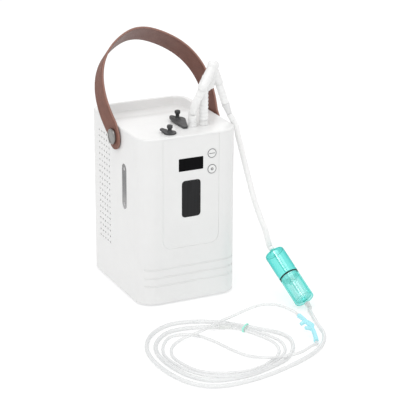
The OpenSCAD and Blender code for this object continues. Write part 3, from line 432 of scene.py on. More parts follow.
# streak is the strength of the painted reflection streaks
smoked("display_black", color=(0.003, 0.003, 0.0035), specular=0.05, rough=0.16, streak=0.2)
smoked("window_smoked", color=(0.010, 0.010, 0.011), specular=0.22, rough=0.12, streak=0.35)
level_window("level_window")
studio_floor("studio_floor")

# ------------------------------------------------------------------ mesh helpers

def make(name, verts, faces, material, second=None, face_slots=(), smooth=True):
    """Object from millimetre points; face_slots picks the material slot of each face."""
    mesh = bpy.data.meshes.new(name)
    mesh.from_pydata([(v[0] * MM, v[1] * MM, v[2] * MM) for v in verts], [], faces)
    bm = bmesh.new()
    bm.from_mesh(mesh)
    for face, slot in zip(bm.faces, face_slots):
        face.material_index = slot
    bmesh.ops.recalc_face_normals(bm, faces=bm.faces)
    for face in bm.faces:
        face.smooth = smooth
    bm.to_mesh(mesh)
    bm.free()
    piece = bpy.data.objects.new(name, mesh)
    bpy.context.scene.collection.objects.link(piece)
    piece.data.materials.append(MATS[material])
    if second:
        piece.data.materials.append(MATS[second])
    return piece


def assign(piece, slot, body="case", replaces=True):
    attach(piece, body)
    if replaces:
        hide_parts(slot)


def apply_modifiers(piece):
    graph = bpy.context.evaluated_depsgraph_get()
    mesh = bpy.data.meshes.new_from_object(piece.evaluated_get(graph))
    old = piece.data
    piece.modifiers.clear()
    piece.data = mesh
    bpy.data.meshes.remove(old)
    for polygon in mesh.polygons:
        polygon.use_smooth = True
    return piece


def crisp(piece, angle):
    """Marks edges sharper than angle degrees as sharp on a smooth mesh."""
    for polygon in piece.data.polygons:
        polygon.use_smooth = True
    bm = bmesh.new()
    bm.from_mesh(piece.data)
    for edge in bm.edges:
        if len(edge.link_faces) == 2 and edge.calc_face_angle(0) > math.radians(angle):
            edge.smooth = False
    bm.to_mesh(piece.data)
    bm.free()
    return piece


def join(parts):
    verts, faces = [], []
    for part_verts, part_faces in parts:
        first = len(verts)
        verts += part_verts
        faces += [tuple(i + first for i in face) for face in part_faces]
    return verts, faces


def cut(piece, cutter_name, parts, material):
    """Takes the closed parts away from the piece."""
    cutter = make(cutter_name, *join(parts), material)
    boolean = piece.modifiers.new("cut", "BOOLEAN")
    boolean.operation = "DIFFERENCE"
    boolean.object = cutter
    boolean.solver = "EXACT"
    apply_modifiers(piece)
    bpy.data.objects.remove(cutter)


def fuse(name, parts, voxel, smoothing, material):
    """Joins closed parts into one skin with soft inner corners."""
    piece = make(name, *join(parts), material)
    remesh = piece.modifiers.new("remesh", "REMESH")
    remesh.mode = "VOXEL"
    remesh.voxel_size = voxel * MM
    remesh.use_smooth_shade = True
    smooth = piece.modifiers.new("smooth", "SMOOTH")
    smooth.factor = 0.5
    smooth.iterations = smoothing
    return apply_modifiers(piece)


def skin(rings, loop=False):
    """Faces between rings; a loop joins the last ring to the first, else ends are capped."""
    sides, count = len(rings[0]), len(rings)
    verts = [tuple(point) for ring in rings for point in ring]
    faces = []
    for i in range(count if loop else count - 1):
        here, there = i * sides, (i + 1) % count * sides
        for k in range(sides):
            after = (k + 1) % sides
            faces.append((here + k, here + after, there + after, there + k))
    if loop:
        return verts, faces
    for i in (0, count - 1):
        verts.append(tuple(sum((Vector(p) for p in rings[i]), Vector((0, 0, 0))) / sides))
        centre = len(verts) - 1
        for k in range(sides):
            here, after = i * sides + k, i * sides + (k + 1) % sides
            faces.append((here, after, centre) if i else (after, here, centre))
    return verts, faces


def smooth_path(points, steps):
    """Catmull-Rom curve through the points."""
    points = [Vector(p) for p in points]
    last = len(points) - 1
    out = []
    for i in range(last):
        before, start = points[max(i - 1, 0)], points[i]
        end, after = points[i + 1], points[min(i + 2, last)]
        for j in range(steps):
            t = j / steps
            out.append(0.5 * ((2 * start) + (end - before) * t
                              + (2 * before - 5 * start + 4 * end - after) * t * t
                              + (3 * start - before - 3 * end + after) * t ** 3))
    out.append(points[last])
    return out


def tube_rings(points, radius, sides, rim=0.0, taper=0.0):
    """Rings along points with twist-free framing; rim rounds the ends, taper thins the far one."""
    count = len(points)
    along = [0.0]
    for i in range(1, count):
        along.append(along[-1] + (points[i] - points[i - 1]).length)
    total = along[-1]
    tangents = [(points[min(i + 1, count - 1)] - points[max(i - 1, 0)]).normalized()
                for i in range(count)]
    first = tangents[0]
    guide = UP if abs(first.z) < 0.9 else Vector((1, 0, 0))
    across = (guide - first * guide.dot(first)).normalized()
    angles = [2 * math.pi * k / sides for k in range(sides)]
    rings = []
    for point, distance, tangent in zip(points, along, tangents):
        across = (across - tangent * across.dot(tangent)).normalized()
        other = tangent.cross(across)
        size = radius - taper * distance / total
        end = min(distance, total - distance)
        if end < rim:
            k = 1 - end / rim
            size = size - rim * (1 - math.sqrt(max(0, 1 - k * k)))
        rings.append([point + (across * math.cos(a) + other * math.sin(a)) * size
                      for a in angles])
    return rings


def tube(name, points, steps, radius, material, sides, rim):
    """Smooth tube; stations are added at both ends so that the rims can be rounded."""
    points = smooth_path(points, steps)
    start, end = points[0], points[-1]
    ahead = (points[1] - start).normalized()
    back = (points[-2] - end).normalized()
    spread = (0, 0.06, 0.2, 0.45, 0.75, 1.0)
    path = [start + ahead * (rim * k) for k in spread]
    path += [p for p in points[1:-1]
             if (p - start).length > rim * 1.3 and (p - end).length > rim * 1.3]
    path += [end + back * (rim * k) for k in reversed(spread)]
    return make(name, *skin(tube_rings(path, radius, sides, rim)), material)


def scaled_ring(centre, ring, factor):
    return [centre + (point - centre) * factor for point in ring]


def rod(start, end, start_radius, end_radius, sides):
    """Closed tapered rod with flat ends."""
    start, end = Vector(start), Vector(end)
    first, last = tube_rings([start, end], 1.0, sides)
    return skin([scaled_ring(start, first, start_radius), scaled_ring(end, last, end_radius)])


def capsule(start, end, start_radius, end_radius, sides, steps=10):
    """Closed tapered rod with round ends."""
    ahead = (end - start).normalized()
    points, radii = [], []
    for k in range(8):
        angle = math.pi / 2 * (1 - k / 8)
        points.append(start - ahead * start_radius * math.sin(angle) * 0.999)
        radii.append(start_radius * math.cos(angle) + 1e-3)
    for k in range(steps + 1):
        points.append(start.lerp(end, k / steps))
        radii.append(start_radius + (end_radius - start_radius) * k / steps)
    for k in range(1, 9):
        angle = math.pi / 2 * k / 8
        points.append(end + ahead * end_radius * math.sin(angle) * 0.999)
        radii.append(end_radius * math.cos(angle) + 1e-3)
    rings = tube_rings(points, 1.0, sides)
    return skin([scaled_ring(*row) for row in zip(points, rings, radii)])


def axis_matrix(start, end):
    """Frame with its origin at start and its z axis towards end."""
    start = Vector(start)
    z = (Vector(end) - start).normalized()
    x = UP.cross(z)
    x = Vector((1, 0, 0)) if x.length < 1e-6 else x.normalized()
    matrix = Matrix((x, z.cross(x), z)).transposed().to_4x4()
    matrix.translation = start
    return matrix


def rounded(points, steps=4):
    """Lathe profile from (radius, height along the axis, corner rounding if any)."""
    out = []
    for i, (radius, height, *corner) in enumerate(points):
        if not corner:
            out.append((radius, height))
            continue
        here = Vector((radius, height))
        before = Vector(points[i - 1][:2]) - here
        after = Vector(points[i + 1][:2]) - here
        reach = min(corner[0], 0.45 * before.length, 0.45 * after.length)
        start = here + before.normalized() * reach
        end = here + after.normalized() * reach
        for k in range(steps + 1):
            t = k / steps
            point = start * (1 - t) ** 2 + here * (2 * t * (1 - t)) + end * t * t
            out.append((point.x, point.y))
    return out


def circle(radius, height, thickness, count):
    """Round lathe profile, for a ring."""
    angles = [2 * math.pi * k / count for k in range(count)]
    return [(radius + thickness * math.cos(a), height + thickness * math.sin(a))
            for a in angles]


def lathe(name, profile, matrix, material, segments=48, closed=False,
          second=None, in_second=None):
    """Turns the profile round z; in_second(radius, height) picks faces of the second material."""
    if closed:
        profile = profile + [profile[0]]
    verts, rows = [], []
    for radius, z in profile:
        first = len(verts)
        if radius < 1e-5:
            verts.append(tuple(matrix @ Vector((0, 0, z))))
            rows.append([first] * segments)
            continue
        for k in range(segments):
            angle = 2 * math.pi * k / segments
            point = Vector((radius * math.cos(angle), radius * math.sin(angle), z))
            verts.append(tuple(matrix @ point))
        rows.append(list(range(first, first + segments)))
    faces, face_slots = [], []
    for i in range(len(rows) - 1):
        slot = 0
        if in_second:
            (radius_a, z_a), (radius_b, z_b) = profile[i], profile[i + 1]
            slot = int(in_second((radius_a + radius_b) / 2, (z_a + z_b) / 2))
        for k in range(segments):
            after = (k + 1) % segments
            corners = (rows[i][k], rows[i][after], rows[i + 1][after], rows[i + 1][k])
            face = tuple(dict.fromkeys(corners))    # drops repeats on the axis
            if len(face) > 2:
                faces.append(face)
                face_slots.append(slot)
    piece = make(name, verts, faces, material, second, face_slots)
    if closed:
        bm = bmesh.new()
        bm.from_mesh(piece.data)
        bmesh.ops.remove_doubles(bm, verts=bm.verts, dist=1e-7)
        bm.to_mesh(piece.data)
        bm.free()
    return piece


# ------------------------------------------------------------------ top cover

COVER_DEPTH, COVER_WALL, COVER_EDGE = 2.6, 2.4, 2.2     # skirt, thickness, edge radius
SCOOP_DEPTH, SCOOP_START, SCOOP_END = 12.0, 6, 66       # fall of the scoop along y


def between(start, end):
    """Thirteen points strictly between start and end."""
    return [(start[0] + (end[0] - start[0]) * k / 14, start[1] + (end[1] - start[1]) * k / 14)
            for k in range(1, 14)]


def outline(inset):
    """Plan outline of the case, with the same number of points for every inset."""
    width, depth = HALF_WIDTH - inset, HALF_DEPTH - inset
    front, rear = FRONT_CORNER - inset, REAR_CORNER - inset
    corners = (     # centre x, centre y, radius, start angle
        (width - front, -(depth - front), front, -90),
        (width - rear, depth - rear, rear, 0),
        (-(width - rear), depth - rear, rear, 90),
        (-(width - front), -(depth - front), front, 180),
    )
    points = []
    for x, y, radius, start in corners:
        angles = [math.radians(start + 90 * k / 16) for k in range(17)]
        arc = [(x + radius * math.cos(a), y + radius * math.sin(a)) for a in angles]
        if points:
            points += between(points[-1], arc[0])
        points += arc
    return points + between(points[-1], points[0])


def smoothstep(t):
    t = max(0.0, min(1.0, t))
    return t * t * (3 - 2 * t)


def scoop_fall(y):
    if y < SCOOP_START:
        return 0.0
    if y > SCOOP_END:
        return SCOOP_DEPTH
    share = math.pi * (y - SCOOP_START) / (SCOOP_END - SCOOP_START)
    return SCOOP_DEPTH * (1 - math.cos(share)) / 2


def cover_z(y, inset):
    z = TOP
    if inset < COVER_EDGE:
        z -= COVER_EDGE - math.sqrt(max(0.0, COVER_EDGE ** 2 - (COVER_EDGE - inset) ** 2))
    return z - scoop_fall(y) * smoothstep((inset - 8.0) / 5.0)


def build_cover():
    """Rounded edge, flat rim and a scoop falling towards the rear."""
    bottom = TOP - COVER_DEPTH + 0.02
    inmost = outline(22)
    upper = [[(x, y, bottom) for x, y in outline(0)]]
    for inset in (0, 0.15, 0.4, 0.75, 1.2, 1.7, 2.2, 3.2, 5, 7, 8, 8.6, 9.2, 9.8, 10.4, 11,
                  11.6, 12.2, 13, 15, 18, 22):
        upper.append([(x, y, cover_z(y, inset)) for x, y in outline(inset)])
    for k in (0.9, 0.75, 0.6, 0.45, 0.3, 0.15, 0.04):
        upper.append([(x * k, y * k, cover_z(y * k, 30)) for x, y in inmost])
    under = [[(x, y, bottom) for x, y in outline(7.6)]]
    for inset in (8.4, 9.4, 10.4, 11.4, 12.4, 15, 22):
        under.append([(x, y, min(TOP - COVER_DEPTH,
                                 cover_z(y, inset + COVER_WALL) - COVER_WALL))
                      for x, y in outline(inset)])
    for k in (0.75, 0.5, 0.25, 0.04):
        under.append([(x * k, y * k, cover_z(y * k, 30) - COVER_WALL) for x, y in inmost])
    cover = make("cover_shell", *skin(under[::-1] + upper), "cover_white")
    holes = [rod((x, y, TOP - 20), (x, y, TOP + 20), radius, radius, 40)
             for (x, y), radius in ((REAR_PORT, 6.0), (FRONT_PORT, 6.0),
                                    (OUTLET_A, 5.0), (OUTLET_B, 5.0))]
    cut(cover, "cover_cut", holes, "cover_white")
    assign(crisp(cover, 40), "top_cover")


# ------------------------------------------------------------------ strap

STRAP_EDGE = 1.35       # how far the rounded edge reaches past the flat faces
GROOVE = 0.35           # depth of the pressed line near each edge


def bezier(points, t):
    points = [Vector(p) for p in points]
    while len(points) > 1:
        points = [start * (1 - t) + end * t for start, end in zip(points, points[1:])]
    return points[0]


def strap_stations():
    """Stations (point in the strap's plane, share of full width) from left to right."""
    control = [(-STRAP_ARM, 12), (-STRAP_ARM, 22), (-STRAP_ARM - 34, STRAP_RISE - 16),
               (-30, STRAP_RISE - 25), (-35, STRAP_RISE), (0, STRAP_RISE)]
    half = [bezier(control, i / 60) for i in range(61)]
    line = half + [Vector((-p.x, p.y)) for p in reversed(half[:-1])]
    line = [Vector((p.x - 2 * (p.y / 150) ** 4, p.y)) for p in line]
    ends = [(-STRAP_WIDTH / 2 * math.cos(a), math.sin(a))
            for a in map(math.radians, (3, 8, 15, 23, 32, 42, 53, 65, 78, 90))]
    ends += [(z, 1.0) for z in (3, 6, 9)]
    return ([(Vector((-STRAP_ARM, z)), share) for z, share in ends]
            + [(p, 1.0) for p in line]
            + [(Vector((STRAP_ARM, z)), share) for z, share in reversed(ends)])


def strap_section():
    """Rows: share across the flat, bulge past it, height, edge weight, inner weight."""
    flat = 0.90
    face = []
    for across in (-0.90, -0.865, -0.85, -0.83, -0.70, -0.45, -0.2, 0,
                   0.2, 0.45, 0.70, 0.83, 0.85, 0.865, 0.90):
        dip = GROOVE if abs(across) == 0.85 else 0.0
        face.append((across / flat, STRAP_THICK / 2 - dip))
    rows = [(across, 0, height, 0.0, 0.0) for across, height in face]
    for side in (1, -1):
        for angle in map(math.radians, range(0, 181, 18)):
            bulge, height = math.sin(angle), side * math.cos(angle)
            rows.append((side, side * STRAP_EDGE * bulge, height * STRAP_THICK / 2,
                         bulge ** 0.7, 0.5 - 0.5 * height))
        if side == 1:
            rows += [(across, 0, -height, 0.0, 1.0) for across, height in reversed(face)]
    return rows


def build_strap():
    stations, section = strap_stations(), strap_section()
    turn = Matrix.Rotation(-STRAP_LEAN, 3, "X")
    last = len(stations) - 1
    rings = []
    for i, (point, share) in enumerate(stations):
        tangent = (stations[min(i + 1, last)][0] - stations[max(i - 1, 0)][0]).normalized()
        normal = Vector((-tangent.y, tangent.x))
        width = STRAP_WIDTH / 2 * share
        flat = max(width - STRAP_EDGE, 0.02)
        ring = []
        for across, bulge, height, _, _ in section:
            y = across * flat + bulge * min(1, width / STRAP_EDGE)
            place = point + normal * height
            ring.append(PIVOT + turn @ Vector((place.x, y, place.y)))
        rings.append(ring)
    strap = make("strap_band", *skin(rings), "strap_leather")
    # the last value is that of the two cap centres
    for name, column, cap in (("edge", 3, 1.0), ("inner", 4, 0.5)):
        values = [row[column] for _ in stations for row in section] + [cap, cap]
        attribute = strap.data.attributes.new(name, "FLOAT", "POINT")
        attribute.data.foreach_set("value", values)
    hole = rod((-95, PIVOT.y, PIVOT.z), (95, PIVOT.y, PIVOT.z), 4.06, 4.06, 40)
    cut(strap, "strap_cut", [hole], "strap_leather")
    assign(crisp(strap, 50), "leather_strap", "strap")


def build_strap_bolts():
    face = STRAP_ARM + STRAP_THICK / 2
    profile = rounded([
        (0, 74.6), (6.6, 74.6, 0.2), (7, 75.0, 0.2), (7, 77), (4, 77), (4, face + 0.1),
        (11.4, face + 0.1, 0.3), (12, face + 0.7, 0.3), (12, face + 3.4, 1.0),
        (10.9, face + 4.8, 0.5), (9.9, face + 4.8, 0.4), (9.2, face + 3.7, 0.3),
        (7.6, face + 3.9, 0.8), (3, face + 4.3, 1), (0, face + 4.4)])
    for side, name in ((-1, "left"), (1, "right")):
        axis = axis_matrix((0, PIVOT.y, PIVOT.z), (side, PIVOT.y, PIVOT.z))
        bolt = lathe(f"strap_bolt_{name}", profile, axis, "bolt_turned", 72)
        assign(crisp(bolt, 50), "strap_bolts", replaces=side < 0)


# ------------------------------------------------------------------ silicone plugs

def build_plug(name, port, turn, big, small, length, thick, top, curl, body, slot):
    """Teardrop flap with a curled-up edge, a waisted grip and a ribbed stopper below.

    big and small are the radii of the flap's two ends, length the distance between them;
    curl is (direction in plan, lift, distance where it starts, distance where it ends).
    """
    axis = (Matrix.Translation((*port, TOP + 0.05))
            @ Matrix.Rotation(math.radians(turn), 4, "Z"))
    lean = math.asin((big - small) / length)
    edge = []       # x, y and the outward direction
    for radius, centre, start, sweep in (
            (big, 0, -lean, math.pi + 2 * lean),
            (small, -length, math.pi + lean, math.pi - 2 * lean)):
        for k in range(29):
            angle = start + sweep * k / 28
            out_x, out_y = math.cos(angle), math.sin(angle)
            edge.append((radius * out_x, centre + radius * out_y, out_x, out_y))
    (curl_x, curl_y), lift, curl_start, curl_end = curl
    rings = []
    for z, inset in (   # height, inset from the edge
            (0.0, 5.5), (0.0, 3.5), (0.0, 1.2), (0.12, 0.55), (0.45, 0.12), (1.0, 0),
            (thick - 1.0, 0), (thick - 0.45, 0.12), (thick - 0.12, 0.5), (thick, 1.1),
            (thick - 0.1, 2.4), (thick - 0.25, 4.0)):
        ring = []
        for x, y, out_x, out_y in edge:
            point = axis @ Vector((x - out_x * inset, y - out_y * inset, z))
            reach = (point.x - port[0]) * curl_x + (point.y - port[1]) * curl_y
            point.z += lift * smoothstep((reach - curl_start) / (curl_end - curl_start))
            ring.append(point)
        rings.append(ring)
    assign(make(name + "_flap", *skin(rings), "plug_silicone"), slot, body)
    grip = rounded([
        (6.6, thick - 0.5), (4.6, thick + 0.5, 1.2), (3.4, thick + 1.6, 1.2),
        (2.9, thick + 3, 1.2), (2.9, top - 6.4, 1.0), (3.4, top - 5.2, 0.8),
        (4.2, top - 4.3, 0.5), (4.3, top - 3.6, 0.4), (4.3, top - 1.1, 0.8),
        (3.6, top - 0.15, 0.7), (2.3, top, 0.5), (1.5, top - 0.7, 0.4),
        (0.9, top - 1.1, 0.4), (0, top - 1.2)], steps=5)
    stopper = rounded([
        (0, -9), (5.2, -9, 0.6), (5.9, -8, 0.5), (5.9, -5.6, 0.4), (5.4, -5, 0.3),
        (5.4, -4, 0.3), (5.9, -3.4, 0.4), (5.9, 0.4, 0.1), (0, 0.4)])
    for part, profile in (("_grip", grip), ("_stopper", stopper)):
        piece = lathe(name + part, profile, axis, "plug_silicone", 44)
        assign(piece, slot, body, replaces=False)


# ------------------------------------------------------------------ buttons and screws

def build_button(name, z, body, slot, mark):
    """Round button on the front; heights are distances from the middle of the case."""
    axis = axis_matrix((34, 0, z), (34, -1, z))
    edge = 7.1
    profile = rounded([
        (0, 93.9), (1.8, 93.9), (1.8, 95.4), (edge + 0.9, 95.4, 0.2),
        (edge + 0.9, 96.9, 0.2), (edge, 96.9), (edge, 99.65, 0.2), (edge - 0.35, 100.0, 0.15),
        (edge - 0.55, 100.0, 0.1), (edge - 0.95, 99.72, 0.2), (edge - 1.35, 99.8, 0.2),
        (0, 99.92)])
    button = lathe(name, profile, axis, "button_white", 64, second="button_ring_grey",
                   in_second=lambda radius, height: radius > edge - 1.0 and height > 98.0)
    assign(crisp(button, 45), slot, body)
    if mark == "bar":
        start, end = axis @ Vector((-4.2, 0, 99.8)), axis @ Vector((4.2, 0, 99.8))
        piece = make(name + "_mark", *capsule(start, end, 0.5, 0.5, 12, 6),
                     "button_mark_grey")
    else:
        ring = rounded([(0.9, 99.7), (0.9, 100.15, 0.15), (2.1, 100.15, 0.15), (2.1, 99.7)])
        piece = lathe(name + "_mark", ring, axis, "button_mark_grey", 28, closed=True)
    assign(piece, slot, body, replaces=False)


def build_level_studs():
    """Fixing screws inside the ends of the water level window, on the left side."""
    middle = (LEVEL_LOW + LEVEL_HIGH) / 2
    profile = rounded([(0, -0.1), (2.6, -0.1), (2.6, 0.25, 0.2), (2.0, 0.75, 0.3),
                       (1.0, 0.9, 0.1), (0.9, 0.45, 0.1), (0, 0.45)])
    for k, z in ((1, middle + 27.5), (2, middle - 27.5)):
        axis = axis_matrix((-79.5, -37, z), (-80.5, -37, z))
        stud = lathe(f"level_stud_{k}", profile, axis, "screw_steel", 28)
        assign(crisp(stud, 45 - 10), "case_screws", replaces=False)


# ------------------------------------------------------------------ outlet hoses

NUT_HEIGHT = 7
LEG_A_START = Vector((*OUTLET_A, TOP + NUT_HEIGHT))
LEG_A_END = Vector((*OUTLET_A, 314))
LEG_B_START = Vector((*OUTLET_B, TOP + NUT_HEIGHT))
LEG_B_END = Vector((29.6, -72.8, 318))
LEG_B_AIM = Vector((3.4, -1.6, 8.6)).normalized()
CROWN = Vector((53.6, -61, 348))            # top of the three-way fitting
BRANCH_START = Vector((62.6, -61.9, 321.5))
JOINER_START, JOINER_END = Vector((72.6, -64, 290.2)), Vector((78.6, -65.5, 274.1))
BRANCH_AIM = (JOINER_START - BRANCH_START).normalized()

TRAP_BOTTOM, TRAP_TOP = Vector((141.2, -198.9, 12.9)), Vector((126.5, -125.7, 65.4))
TRAP_AIM = (TRAP_TOP - TRAP_BOTTOM).normalized()
TRAP_LENGTH = (TRAP_TOP - TRAP_BOTTOM).length


def build_outlet_nut(letter, port, edge):
    profile = rounded([
        (1.8, -16), (3, -16, 0.3), (3.4, -12, 0.3), (3.4, -9, 0.3), (4.9, -8, 0.3),
        (4.9, 0.05), (edge, 0.05, 0.2), (edge, 2.2, 0.5), (edge - 0.7, 3.0, 0.3),
        (edge - 0.7, 6.3, 0.5), (edge - 1.2, NUT_HEIGHT, 0.4), (1.8, NUT_HEIGHT)])
    nut = lathe(f"port_{letter}_nut", profile, Matrix.Translation((*port, TOP)),
                "trim_white", 56, closed=True)
    assign(crisp(nut, 45), f"outlet_fitting_{letter}")


def build_ribbed(name, start, end, crest, valley, bore, ribs, material, slot):
    """Straight hose with round ribs between the valley and crest radii."""
    length = (end - start).length
    profile = [(bore, 0)]
    steps = ribs * 12
    for i in range(steps + 1):
        t = i / steps
        wave = 0.5 - 0.5 * math.cos(2 * math.pi * t * ribs)
        radius = valley + (crest - valley) * (wave ** 0.7)
        from_end = min(t, 1 - t) * length
        if from_end < 0.5:
            radius -= 0.4 * (1 - from_end / 0.5) ** 2
        profile.append((radius, t * length))
    profile.append((bore, length))
    assign(lathe(name, profile, axis_matrix(start, end), material, 56, closed=True), slot)


def build_smooth_leg():
    points = [LEG_B_START + Vector((0, 0, 0.05)), LEG_B_START + Vector((0, 0, 5)),
              LEG_B_START + Vector((0, 0, 9.4)), LEG_B_START + Vector((0.2, 0, 12)),
              (20.3, -62.9, 284), (22.2, -66.8, 296), LEG_B_END - LEG_B_AIM * 12.5,
              LEG_B_END - LEG_B_AIM * 9.6, LEG_B_END - LEG_B_AIM * 4, LEG_B_END]
    leg = tube("hose_leg_smooth", points, steps=6, radius=5.9, material="hose_vinyl",
               sides=40, rim=0.6)
    assign(leg, "smooth_leg_hose")


def build_manifold():
    """Two sleeves rising to the crown and one falling to the branch hose."""
    aside = Vector((0.9, -0.436, 0))
    ridge = CROWN + Vector((0, 0, 1.6))
    web = (LEG_A_END + BRANCH_START) / 2
    parts = [
        rod(LEG_A_END + Vector((0, 0, 0.3)), LEG_A_END + Vector((0, 0, 7)), 8.15, 8.15, 36),
        capsule(LEG_A_END + Vector((0, 0, 6.2)), CROWN - Vector((0.2, 0, 0.6)), 8.1, 7.9, 36),
        rod(LEG_B_END + LEG_B_AIM * 0.3, LEG_B_END + LEG_B_AIM * 7, 7.1, 7.1, 36),
        capsule(LEG_B_END + LEG_B_AIM * 6.5, CROWN - Vector((0.8, 0, 1.0)), 7.1, 7.4, 36),
        capsule(CROWN - Vector((0, 0, 3)), BRANCH_START - BRANCH_AIM * 4.5, 7.2, 6.5, 36),
        rod(BRANCH_START - BRANCH_AIM * 5, BRANCH_START - BRANCH_AIM * 0.2, 6.5, 6.4, 36),
        capsule(ridge - aside * 0.6, ridge + aside * 0.6, 8.0, 8.0, 28),
        capsule(CROWN - Vector((0, 0, 8)), Vector((web.x - 1.0, web.y, 319.5)), 6.8, 5.4, 28),
        capsule(LEG_A_END + Vector((3.0, -1.0, 18)), LEG_A_END + Vector((5.2, -2.0, 3.2)),
                6.4, 5.2, 28),
    ]
    yoke = fuse("hose_yoke", parts, voxel=0.5, smoothing=5, material="manifold_vinyl")
    assign(yoke, "hose_manifold")
    # lips where the hoses go in: place, direction, radius
    lips = ((LEG_A_END, UP, 8.5), (LEG_B_END + LEG_B_AIM * 0.2, LEG_B_AIM, 7.4),
            (BRANCH_START, -BRANCH_AIM, 6.75))
    for k, (place, aim, edge) in enumerate(lips):
        profile = rounded([(edge - 1.6, 0), (edge, 0, 0.5), (edge, 2.2, 0.5),
                           (edge - 0.7, 2.9, 0.3), (edge - 1.6, 2.9)])
        lip = lathe(f"hose_lip_{k}", profile, axis_matrix(place, place + aim),
                    "manifold_vinyl", closed=True)
        assign(lip, "hose_manifold", replaces=False)


def build_joiner():
    length = (JOINER_END - JOINER_START).length
    profile = rounded([
        (0, -3.5), (2.4, -3.5), (2.4, 0.3), (5.2, 0.3, 0.3), (5.7, 0.9, 0.4),
        (5.7, 3.4, 0.3), (5.4, 4.0, 0.3), (4.1, length - 1.2, 0.4),
        (3.9, length - 0.4, 0.2), (0, length - 0.4)])
    ring = lathe("hose_ring", profile, axis_matrix(JOINER_START, JOINER_END), "joiner_grey")
    assign(crisp(ring, 45), "hose_joiner")


def build_long_hose():
    """Hose from the joiner down to the top of the trap."""
    aim = (JOINER_END - JOINER_START).normalized()
    end = TRAP_TOP + TRAP_AIM * 4.8
    points = [
        JOINER_END, JOINER_END + aim * 3.5,
        (83.3, -66, 265.2), (87.3, -66.6, 257), (89.5, -69, 250.8), (90.8, -72, 238.4),
        (94.6, -75, 220), (98.6, -80, 197.2), (103.7, -85, 171.1), (109, -92, 142.1),
        (115, -101, 116.1), (120, -108, 97.5),
        end + TRAP_AIM * 9, end + TRAP_AIM * 3, end]
    hose = tube("hose_long", points, steps=10, radius=4.3, material="hose_vinyl",
                sides=28, rim=0.4)
    assign(hose, "long_hose")


# ------------------------------------------------------------------ water trap

def build_trap():
    """Upper cup, lower bowl, seal and dip tube; heights run up the trap's sloping axis."""
    axis = axis_matrix(TRAP_BOTTOM, TRAP_TOP)
    split, length = 46.0, TRAP_LENGTH
    cup = rounded([
        (0, split - 6), (12.6, split - 6, 0.3), (13.1, split - 5.4, 0.3),
        (13.1, split + 2.2, 0.2), (15.5, split + 2.2, 0.5), (15.5, split + 5.5, 0.4),
        (15.2, split + 6.2, 0.3), (15.2, split + 8.8, 0.3), (15.5, split + 9.5, 0.4),
        (15.5, length - 2.6, 1.6), (14.3, length, 1.4), (9.0, length, 1.0),
        (5.6, length + 0.6, 0.8), (4.9, length + 3, 0.3), (4.6, length + 4.3, 0.3),
        (0, length + 4.3)])
    assign(lathe("trap_top_shell", cup, axis, "trap_teal_dense", 72, second="trap_core",
                 in_second=lambda radius, height: height < split + 2.0), "trap_upper_cup")
    bowl = rounded([
        (0, 0), (13.8, 0, 1.4), (15.4, 1.4, 1.4), (15.4, 4, 0.3), (15.2, 4.6, 0.3),
        (15.2, split - 3, 0.3), (15.5, split - 2.4, 0.3), (15.5, split - 0.4, 0.3),
        (15.2, split, 0.3), (13.5, split, 0.3), (13.5, 5, 1.5), (12.0, 2.8, 1.5),
        (1.4, 2.8), (0, 2.8)])
    assign(lathe("trap_bowl_shell", bowl, axis, "trap_teal_clear", 72),
           "trap_lower_cup", "trap_bowl")
    spout = rounded([(0, -4), (3.3, -4, 0.3), (3.6, -3.5, 0.3), (3.6, -0.2), (0, -0.2)])
    assign(lathe("trap_bowl_spout", spout, axis, "trap_teal_clear", 36),
           "trap_lower_cup", "trap_bowl", replaces=False)
    for k in range(12):
        angle = 2 * math.pi * k / 12
        x, y = 15.2 * math.cos(angle), 15.2 * math.sin(angle)
        grip = capsule(axis @ Vector((x, y, 1.8)), axis @ Vector((x, y, 9.0)),
                       0.28, 0.28, 8, 3)
        assign(make(f"trap_bowl_grip_{k}", *grip, "trap_teal_clear"),
               "trap_lower_cup", "trap_bowl", replaces=False)
    # name, slot, body, ring radius, height, thickness
    for name, slot, body, *sizes in (
            ("trap_bowl_foot_ring", "trap_lower_cup", "trap_bowl", 14.4, 0.9, 0.6),
            ("trap_bowl_floor_ring", "trap_lower_cup", "trap_bowl", 13.0, 4.4, 0.5),
            ("trap_top_ring", "trap_upper_cup", "case", 14.3, length - 1.1, 0.7)):
        ring = lathe(name, circle(*sizes, 12), axis, "trap_rim", 72, closed=True)
        assign(ring, slot, body, replaces=False)
    assign(lathe("trap_oring", circle(14.4, split + 1.15, 1.05, 20), axis, "seal_rubber",
                 72, closed=True), "trap_seal")
    dip = rounded([
        (0, 16), (2.8, 16, 0.3), (2.8, 33, 0.4), (6.5, 34, 0.4), (6.5, 36, 0.4),
        (2.8, 37, 0.4), (2.8, length - 3.05), (0, length - 3.05)])
    assign(lathe("trap_dip", dip, axis, "dip_tube_clear", 40), "trap_dip_tube")


# ------------------------------------------------------------------ coiled tubes

SUPPLY_START = TRAP_BOTTOM - TRAP_AIM * 4.5

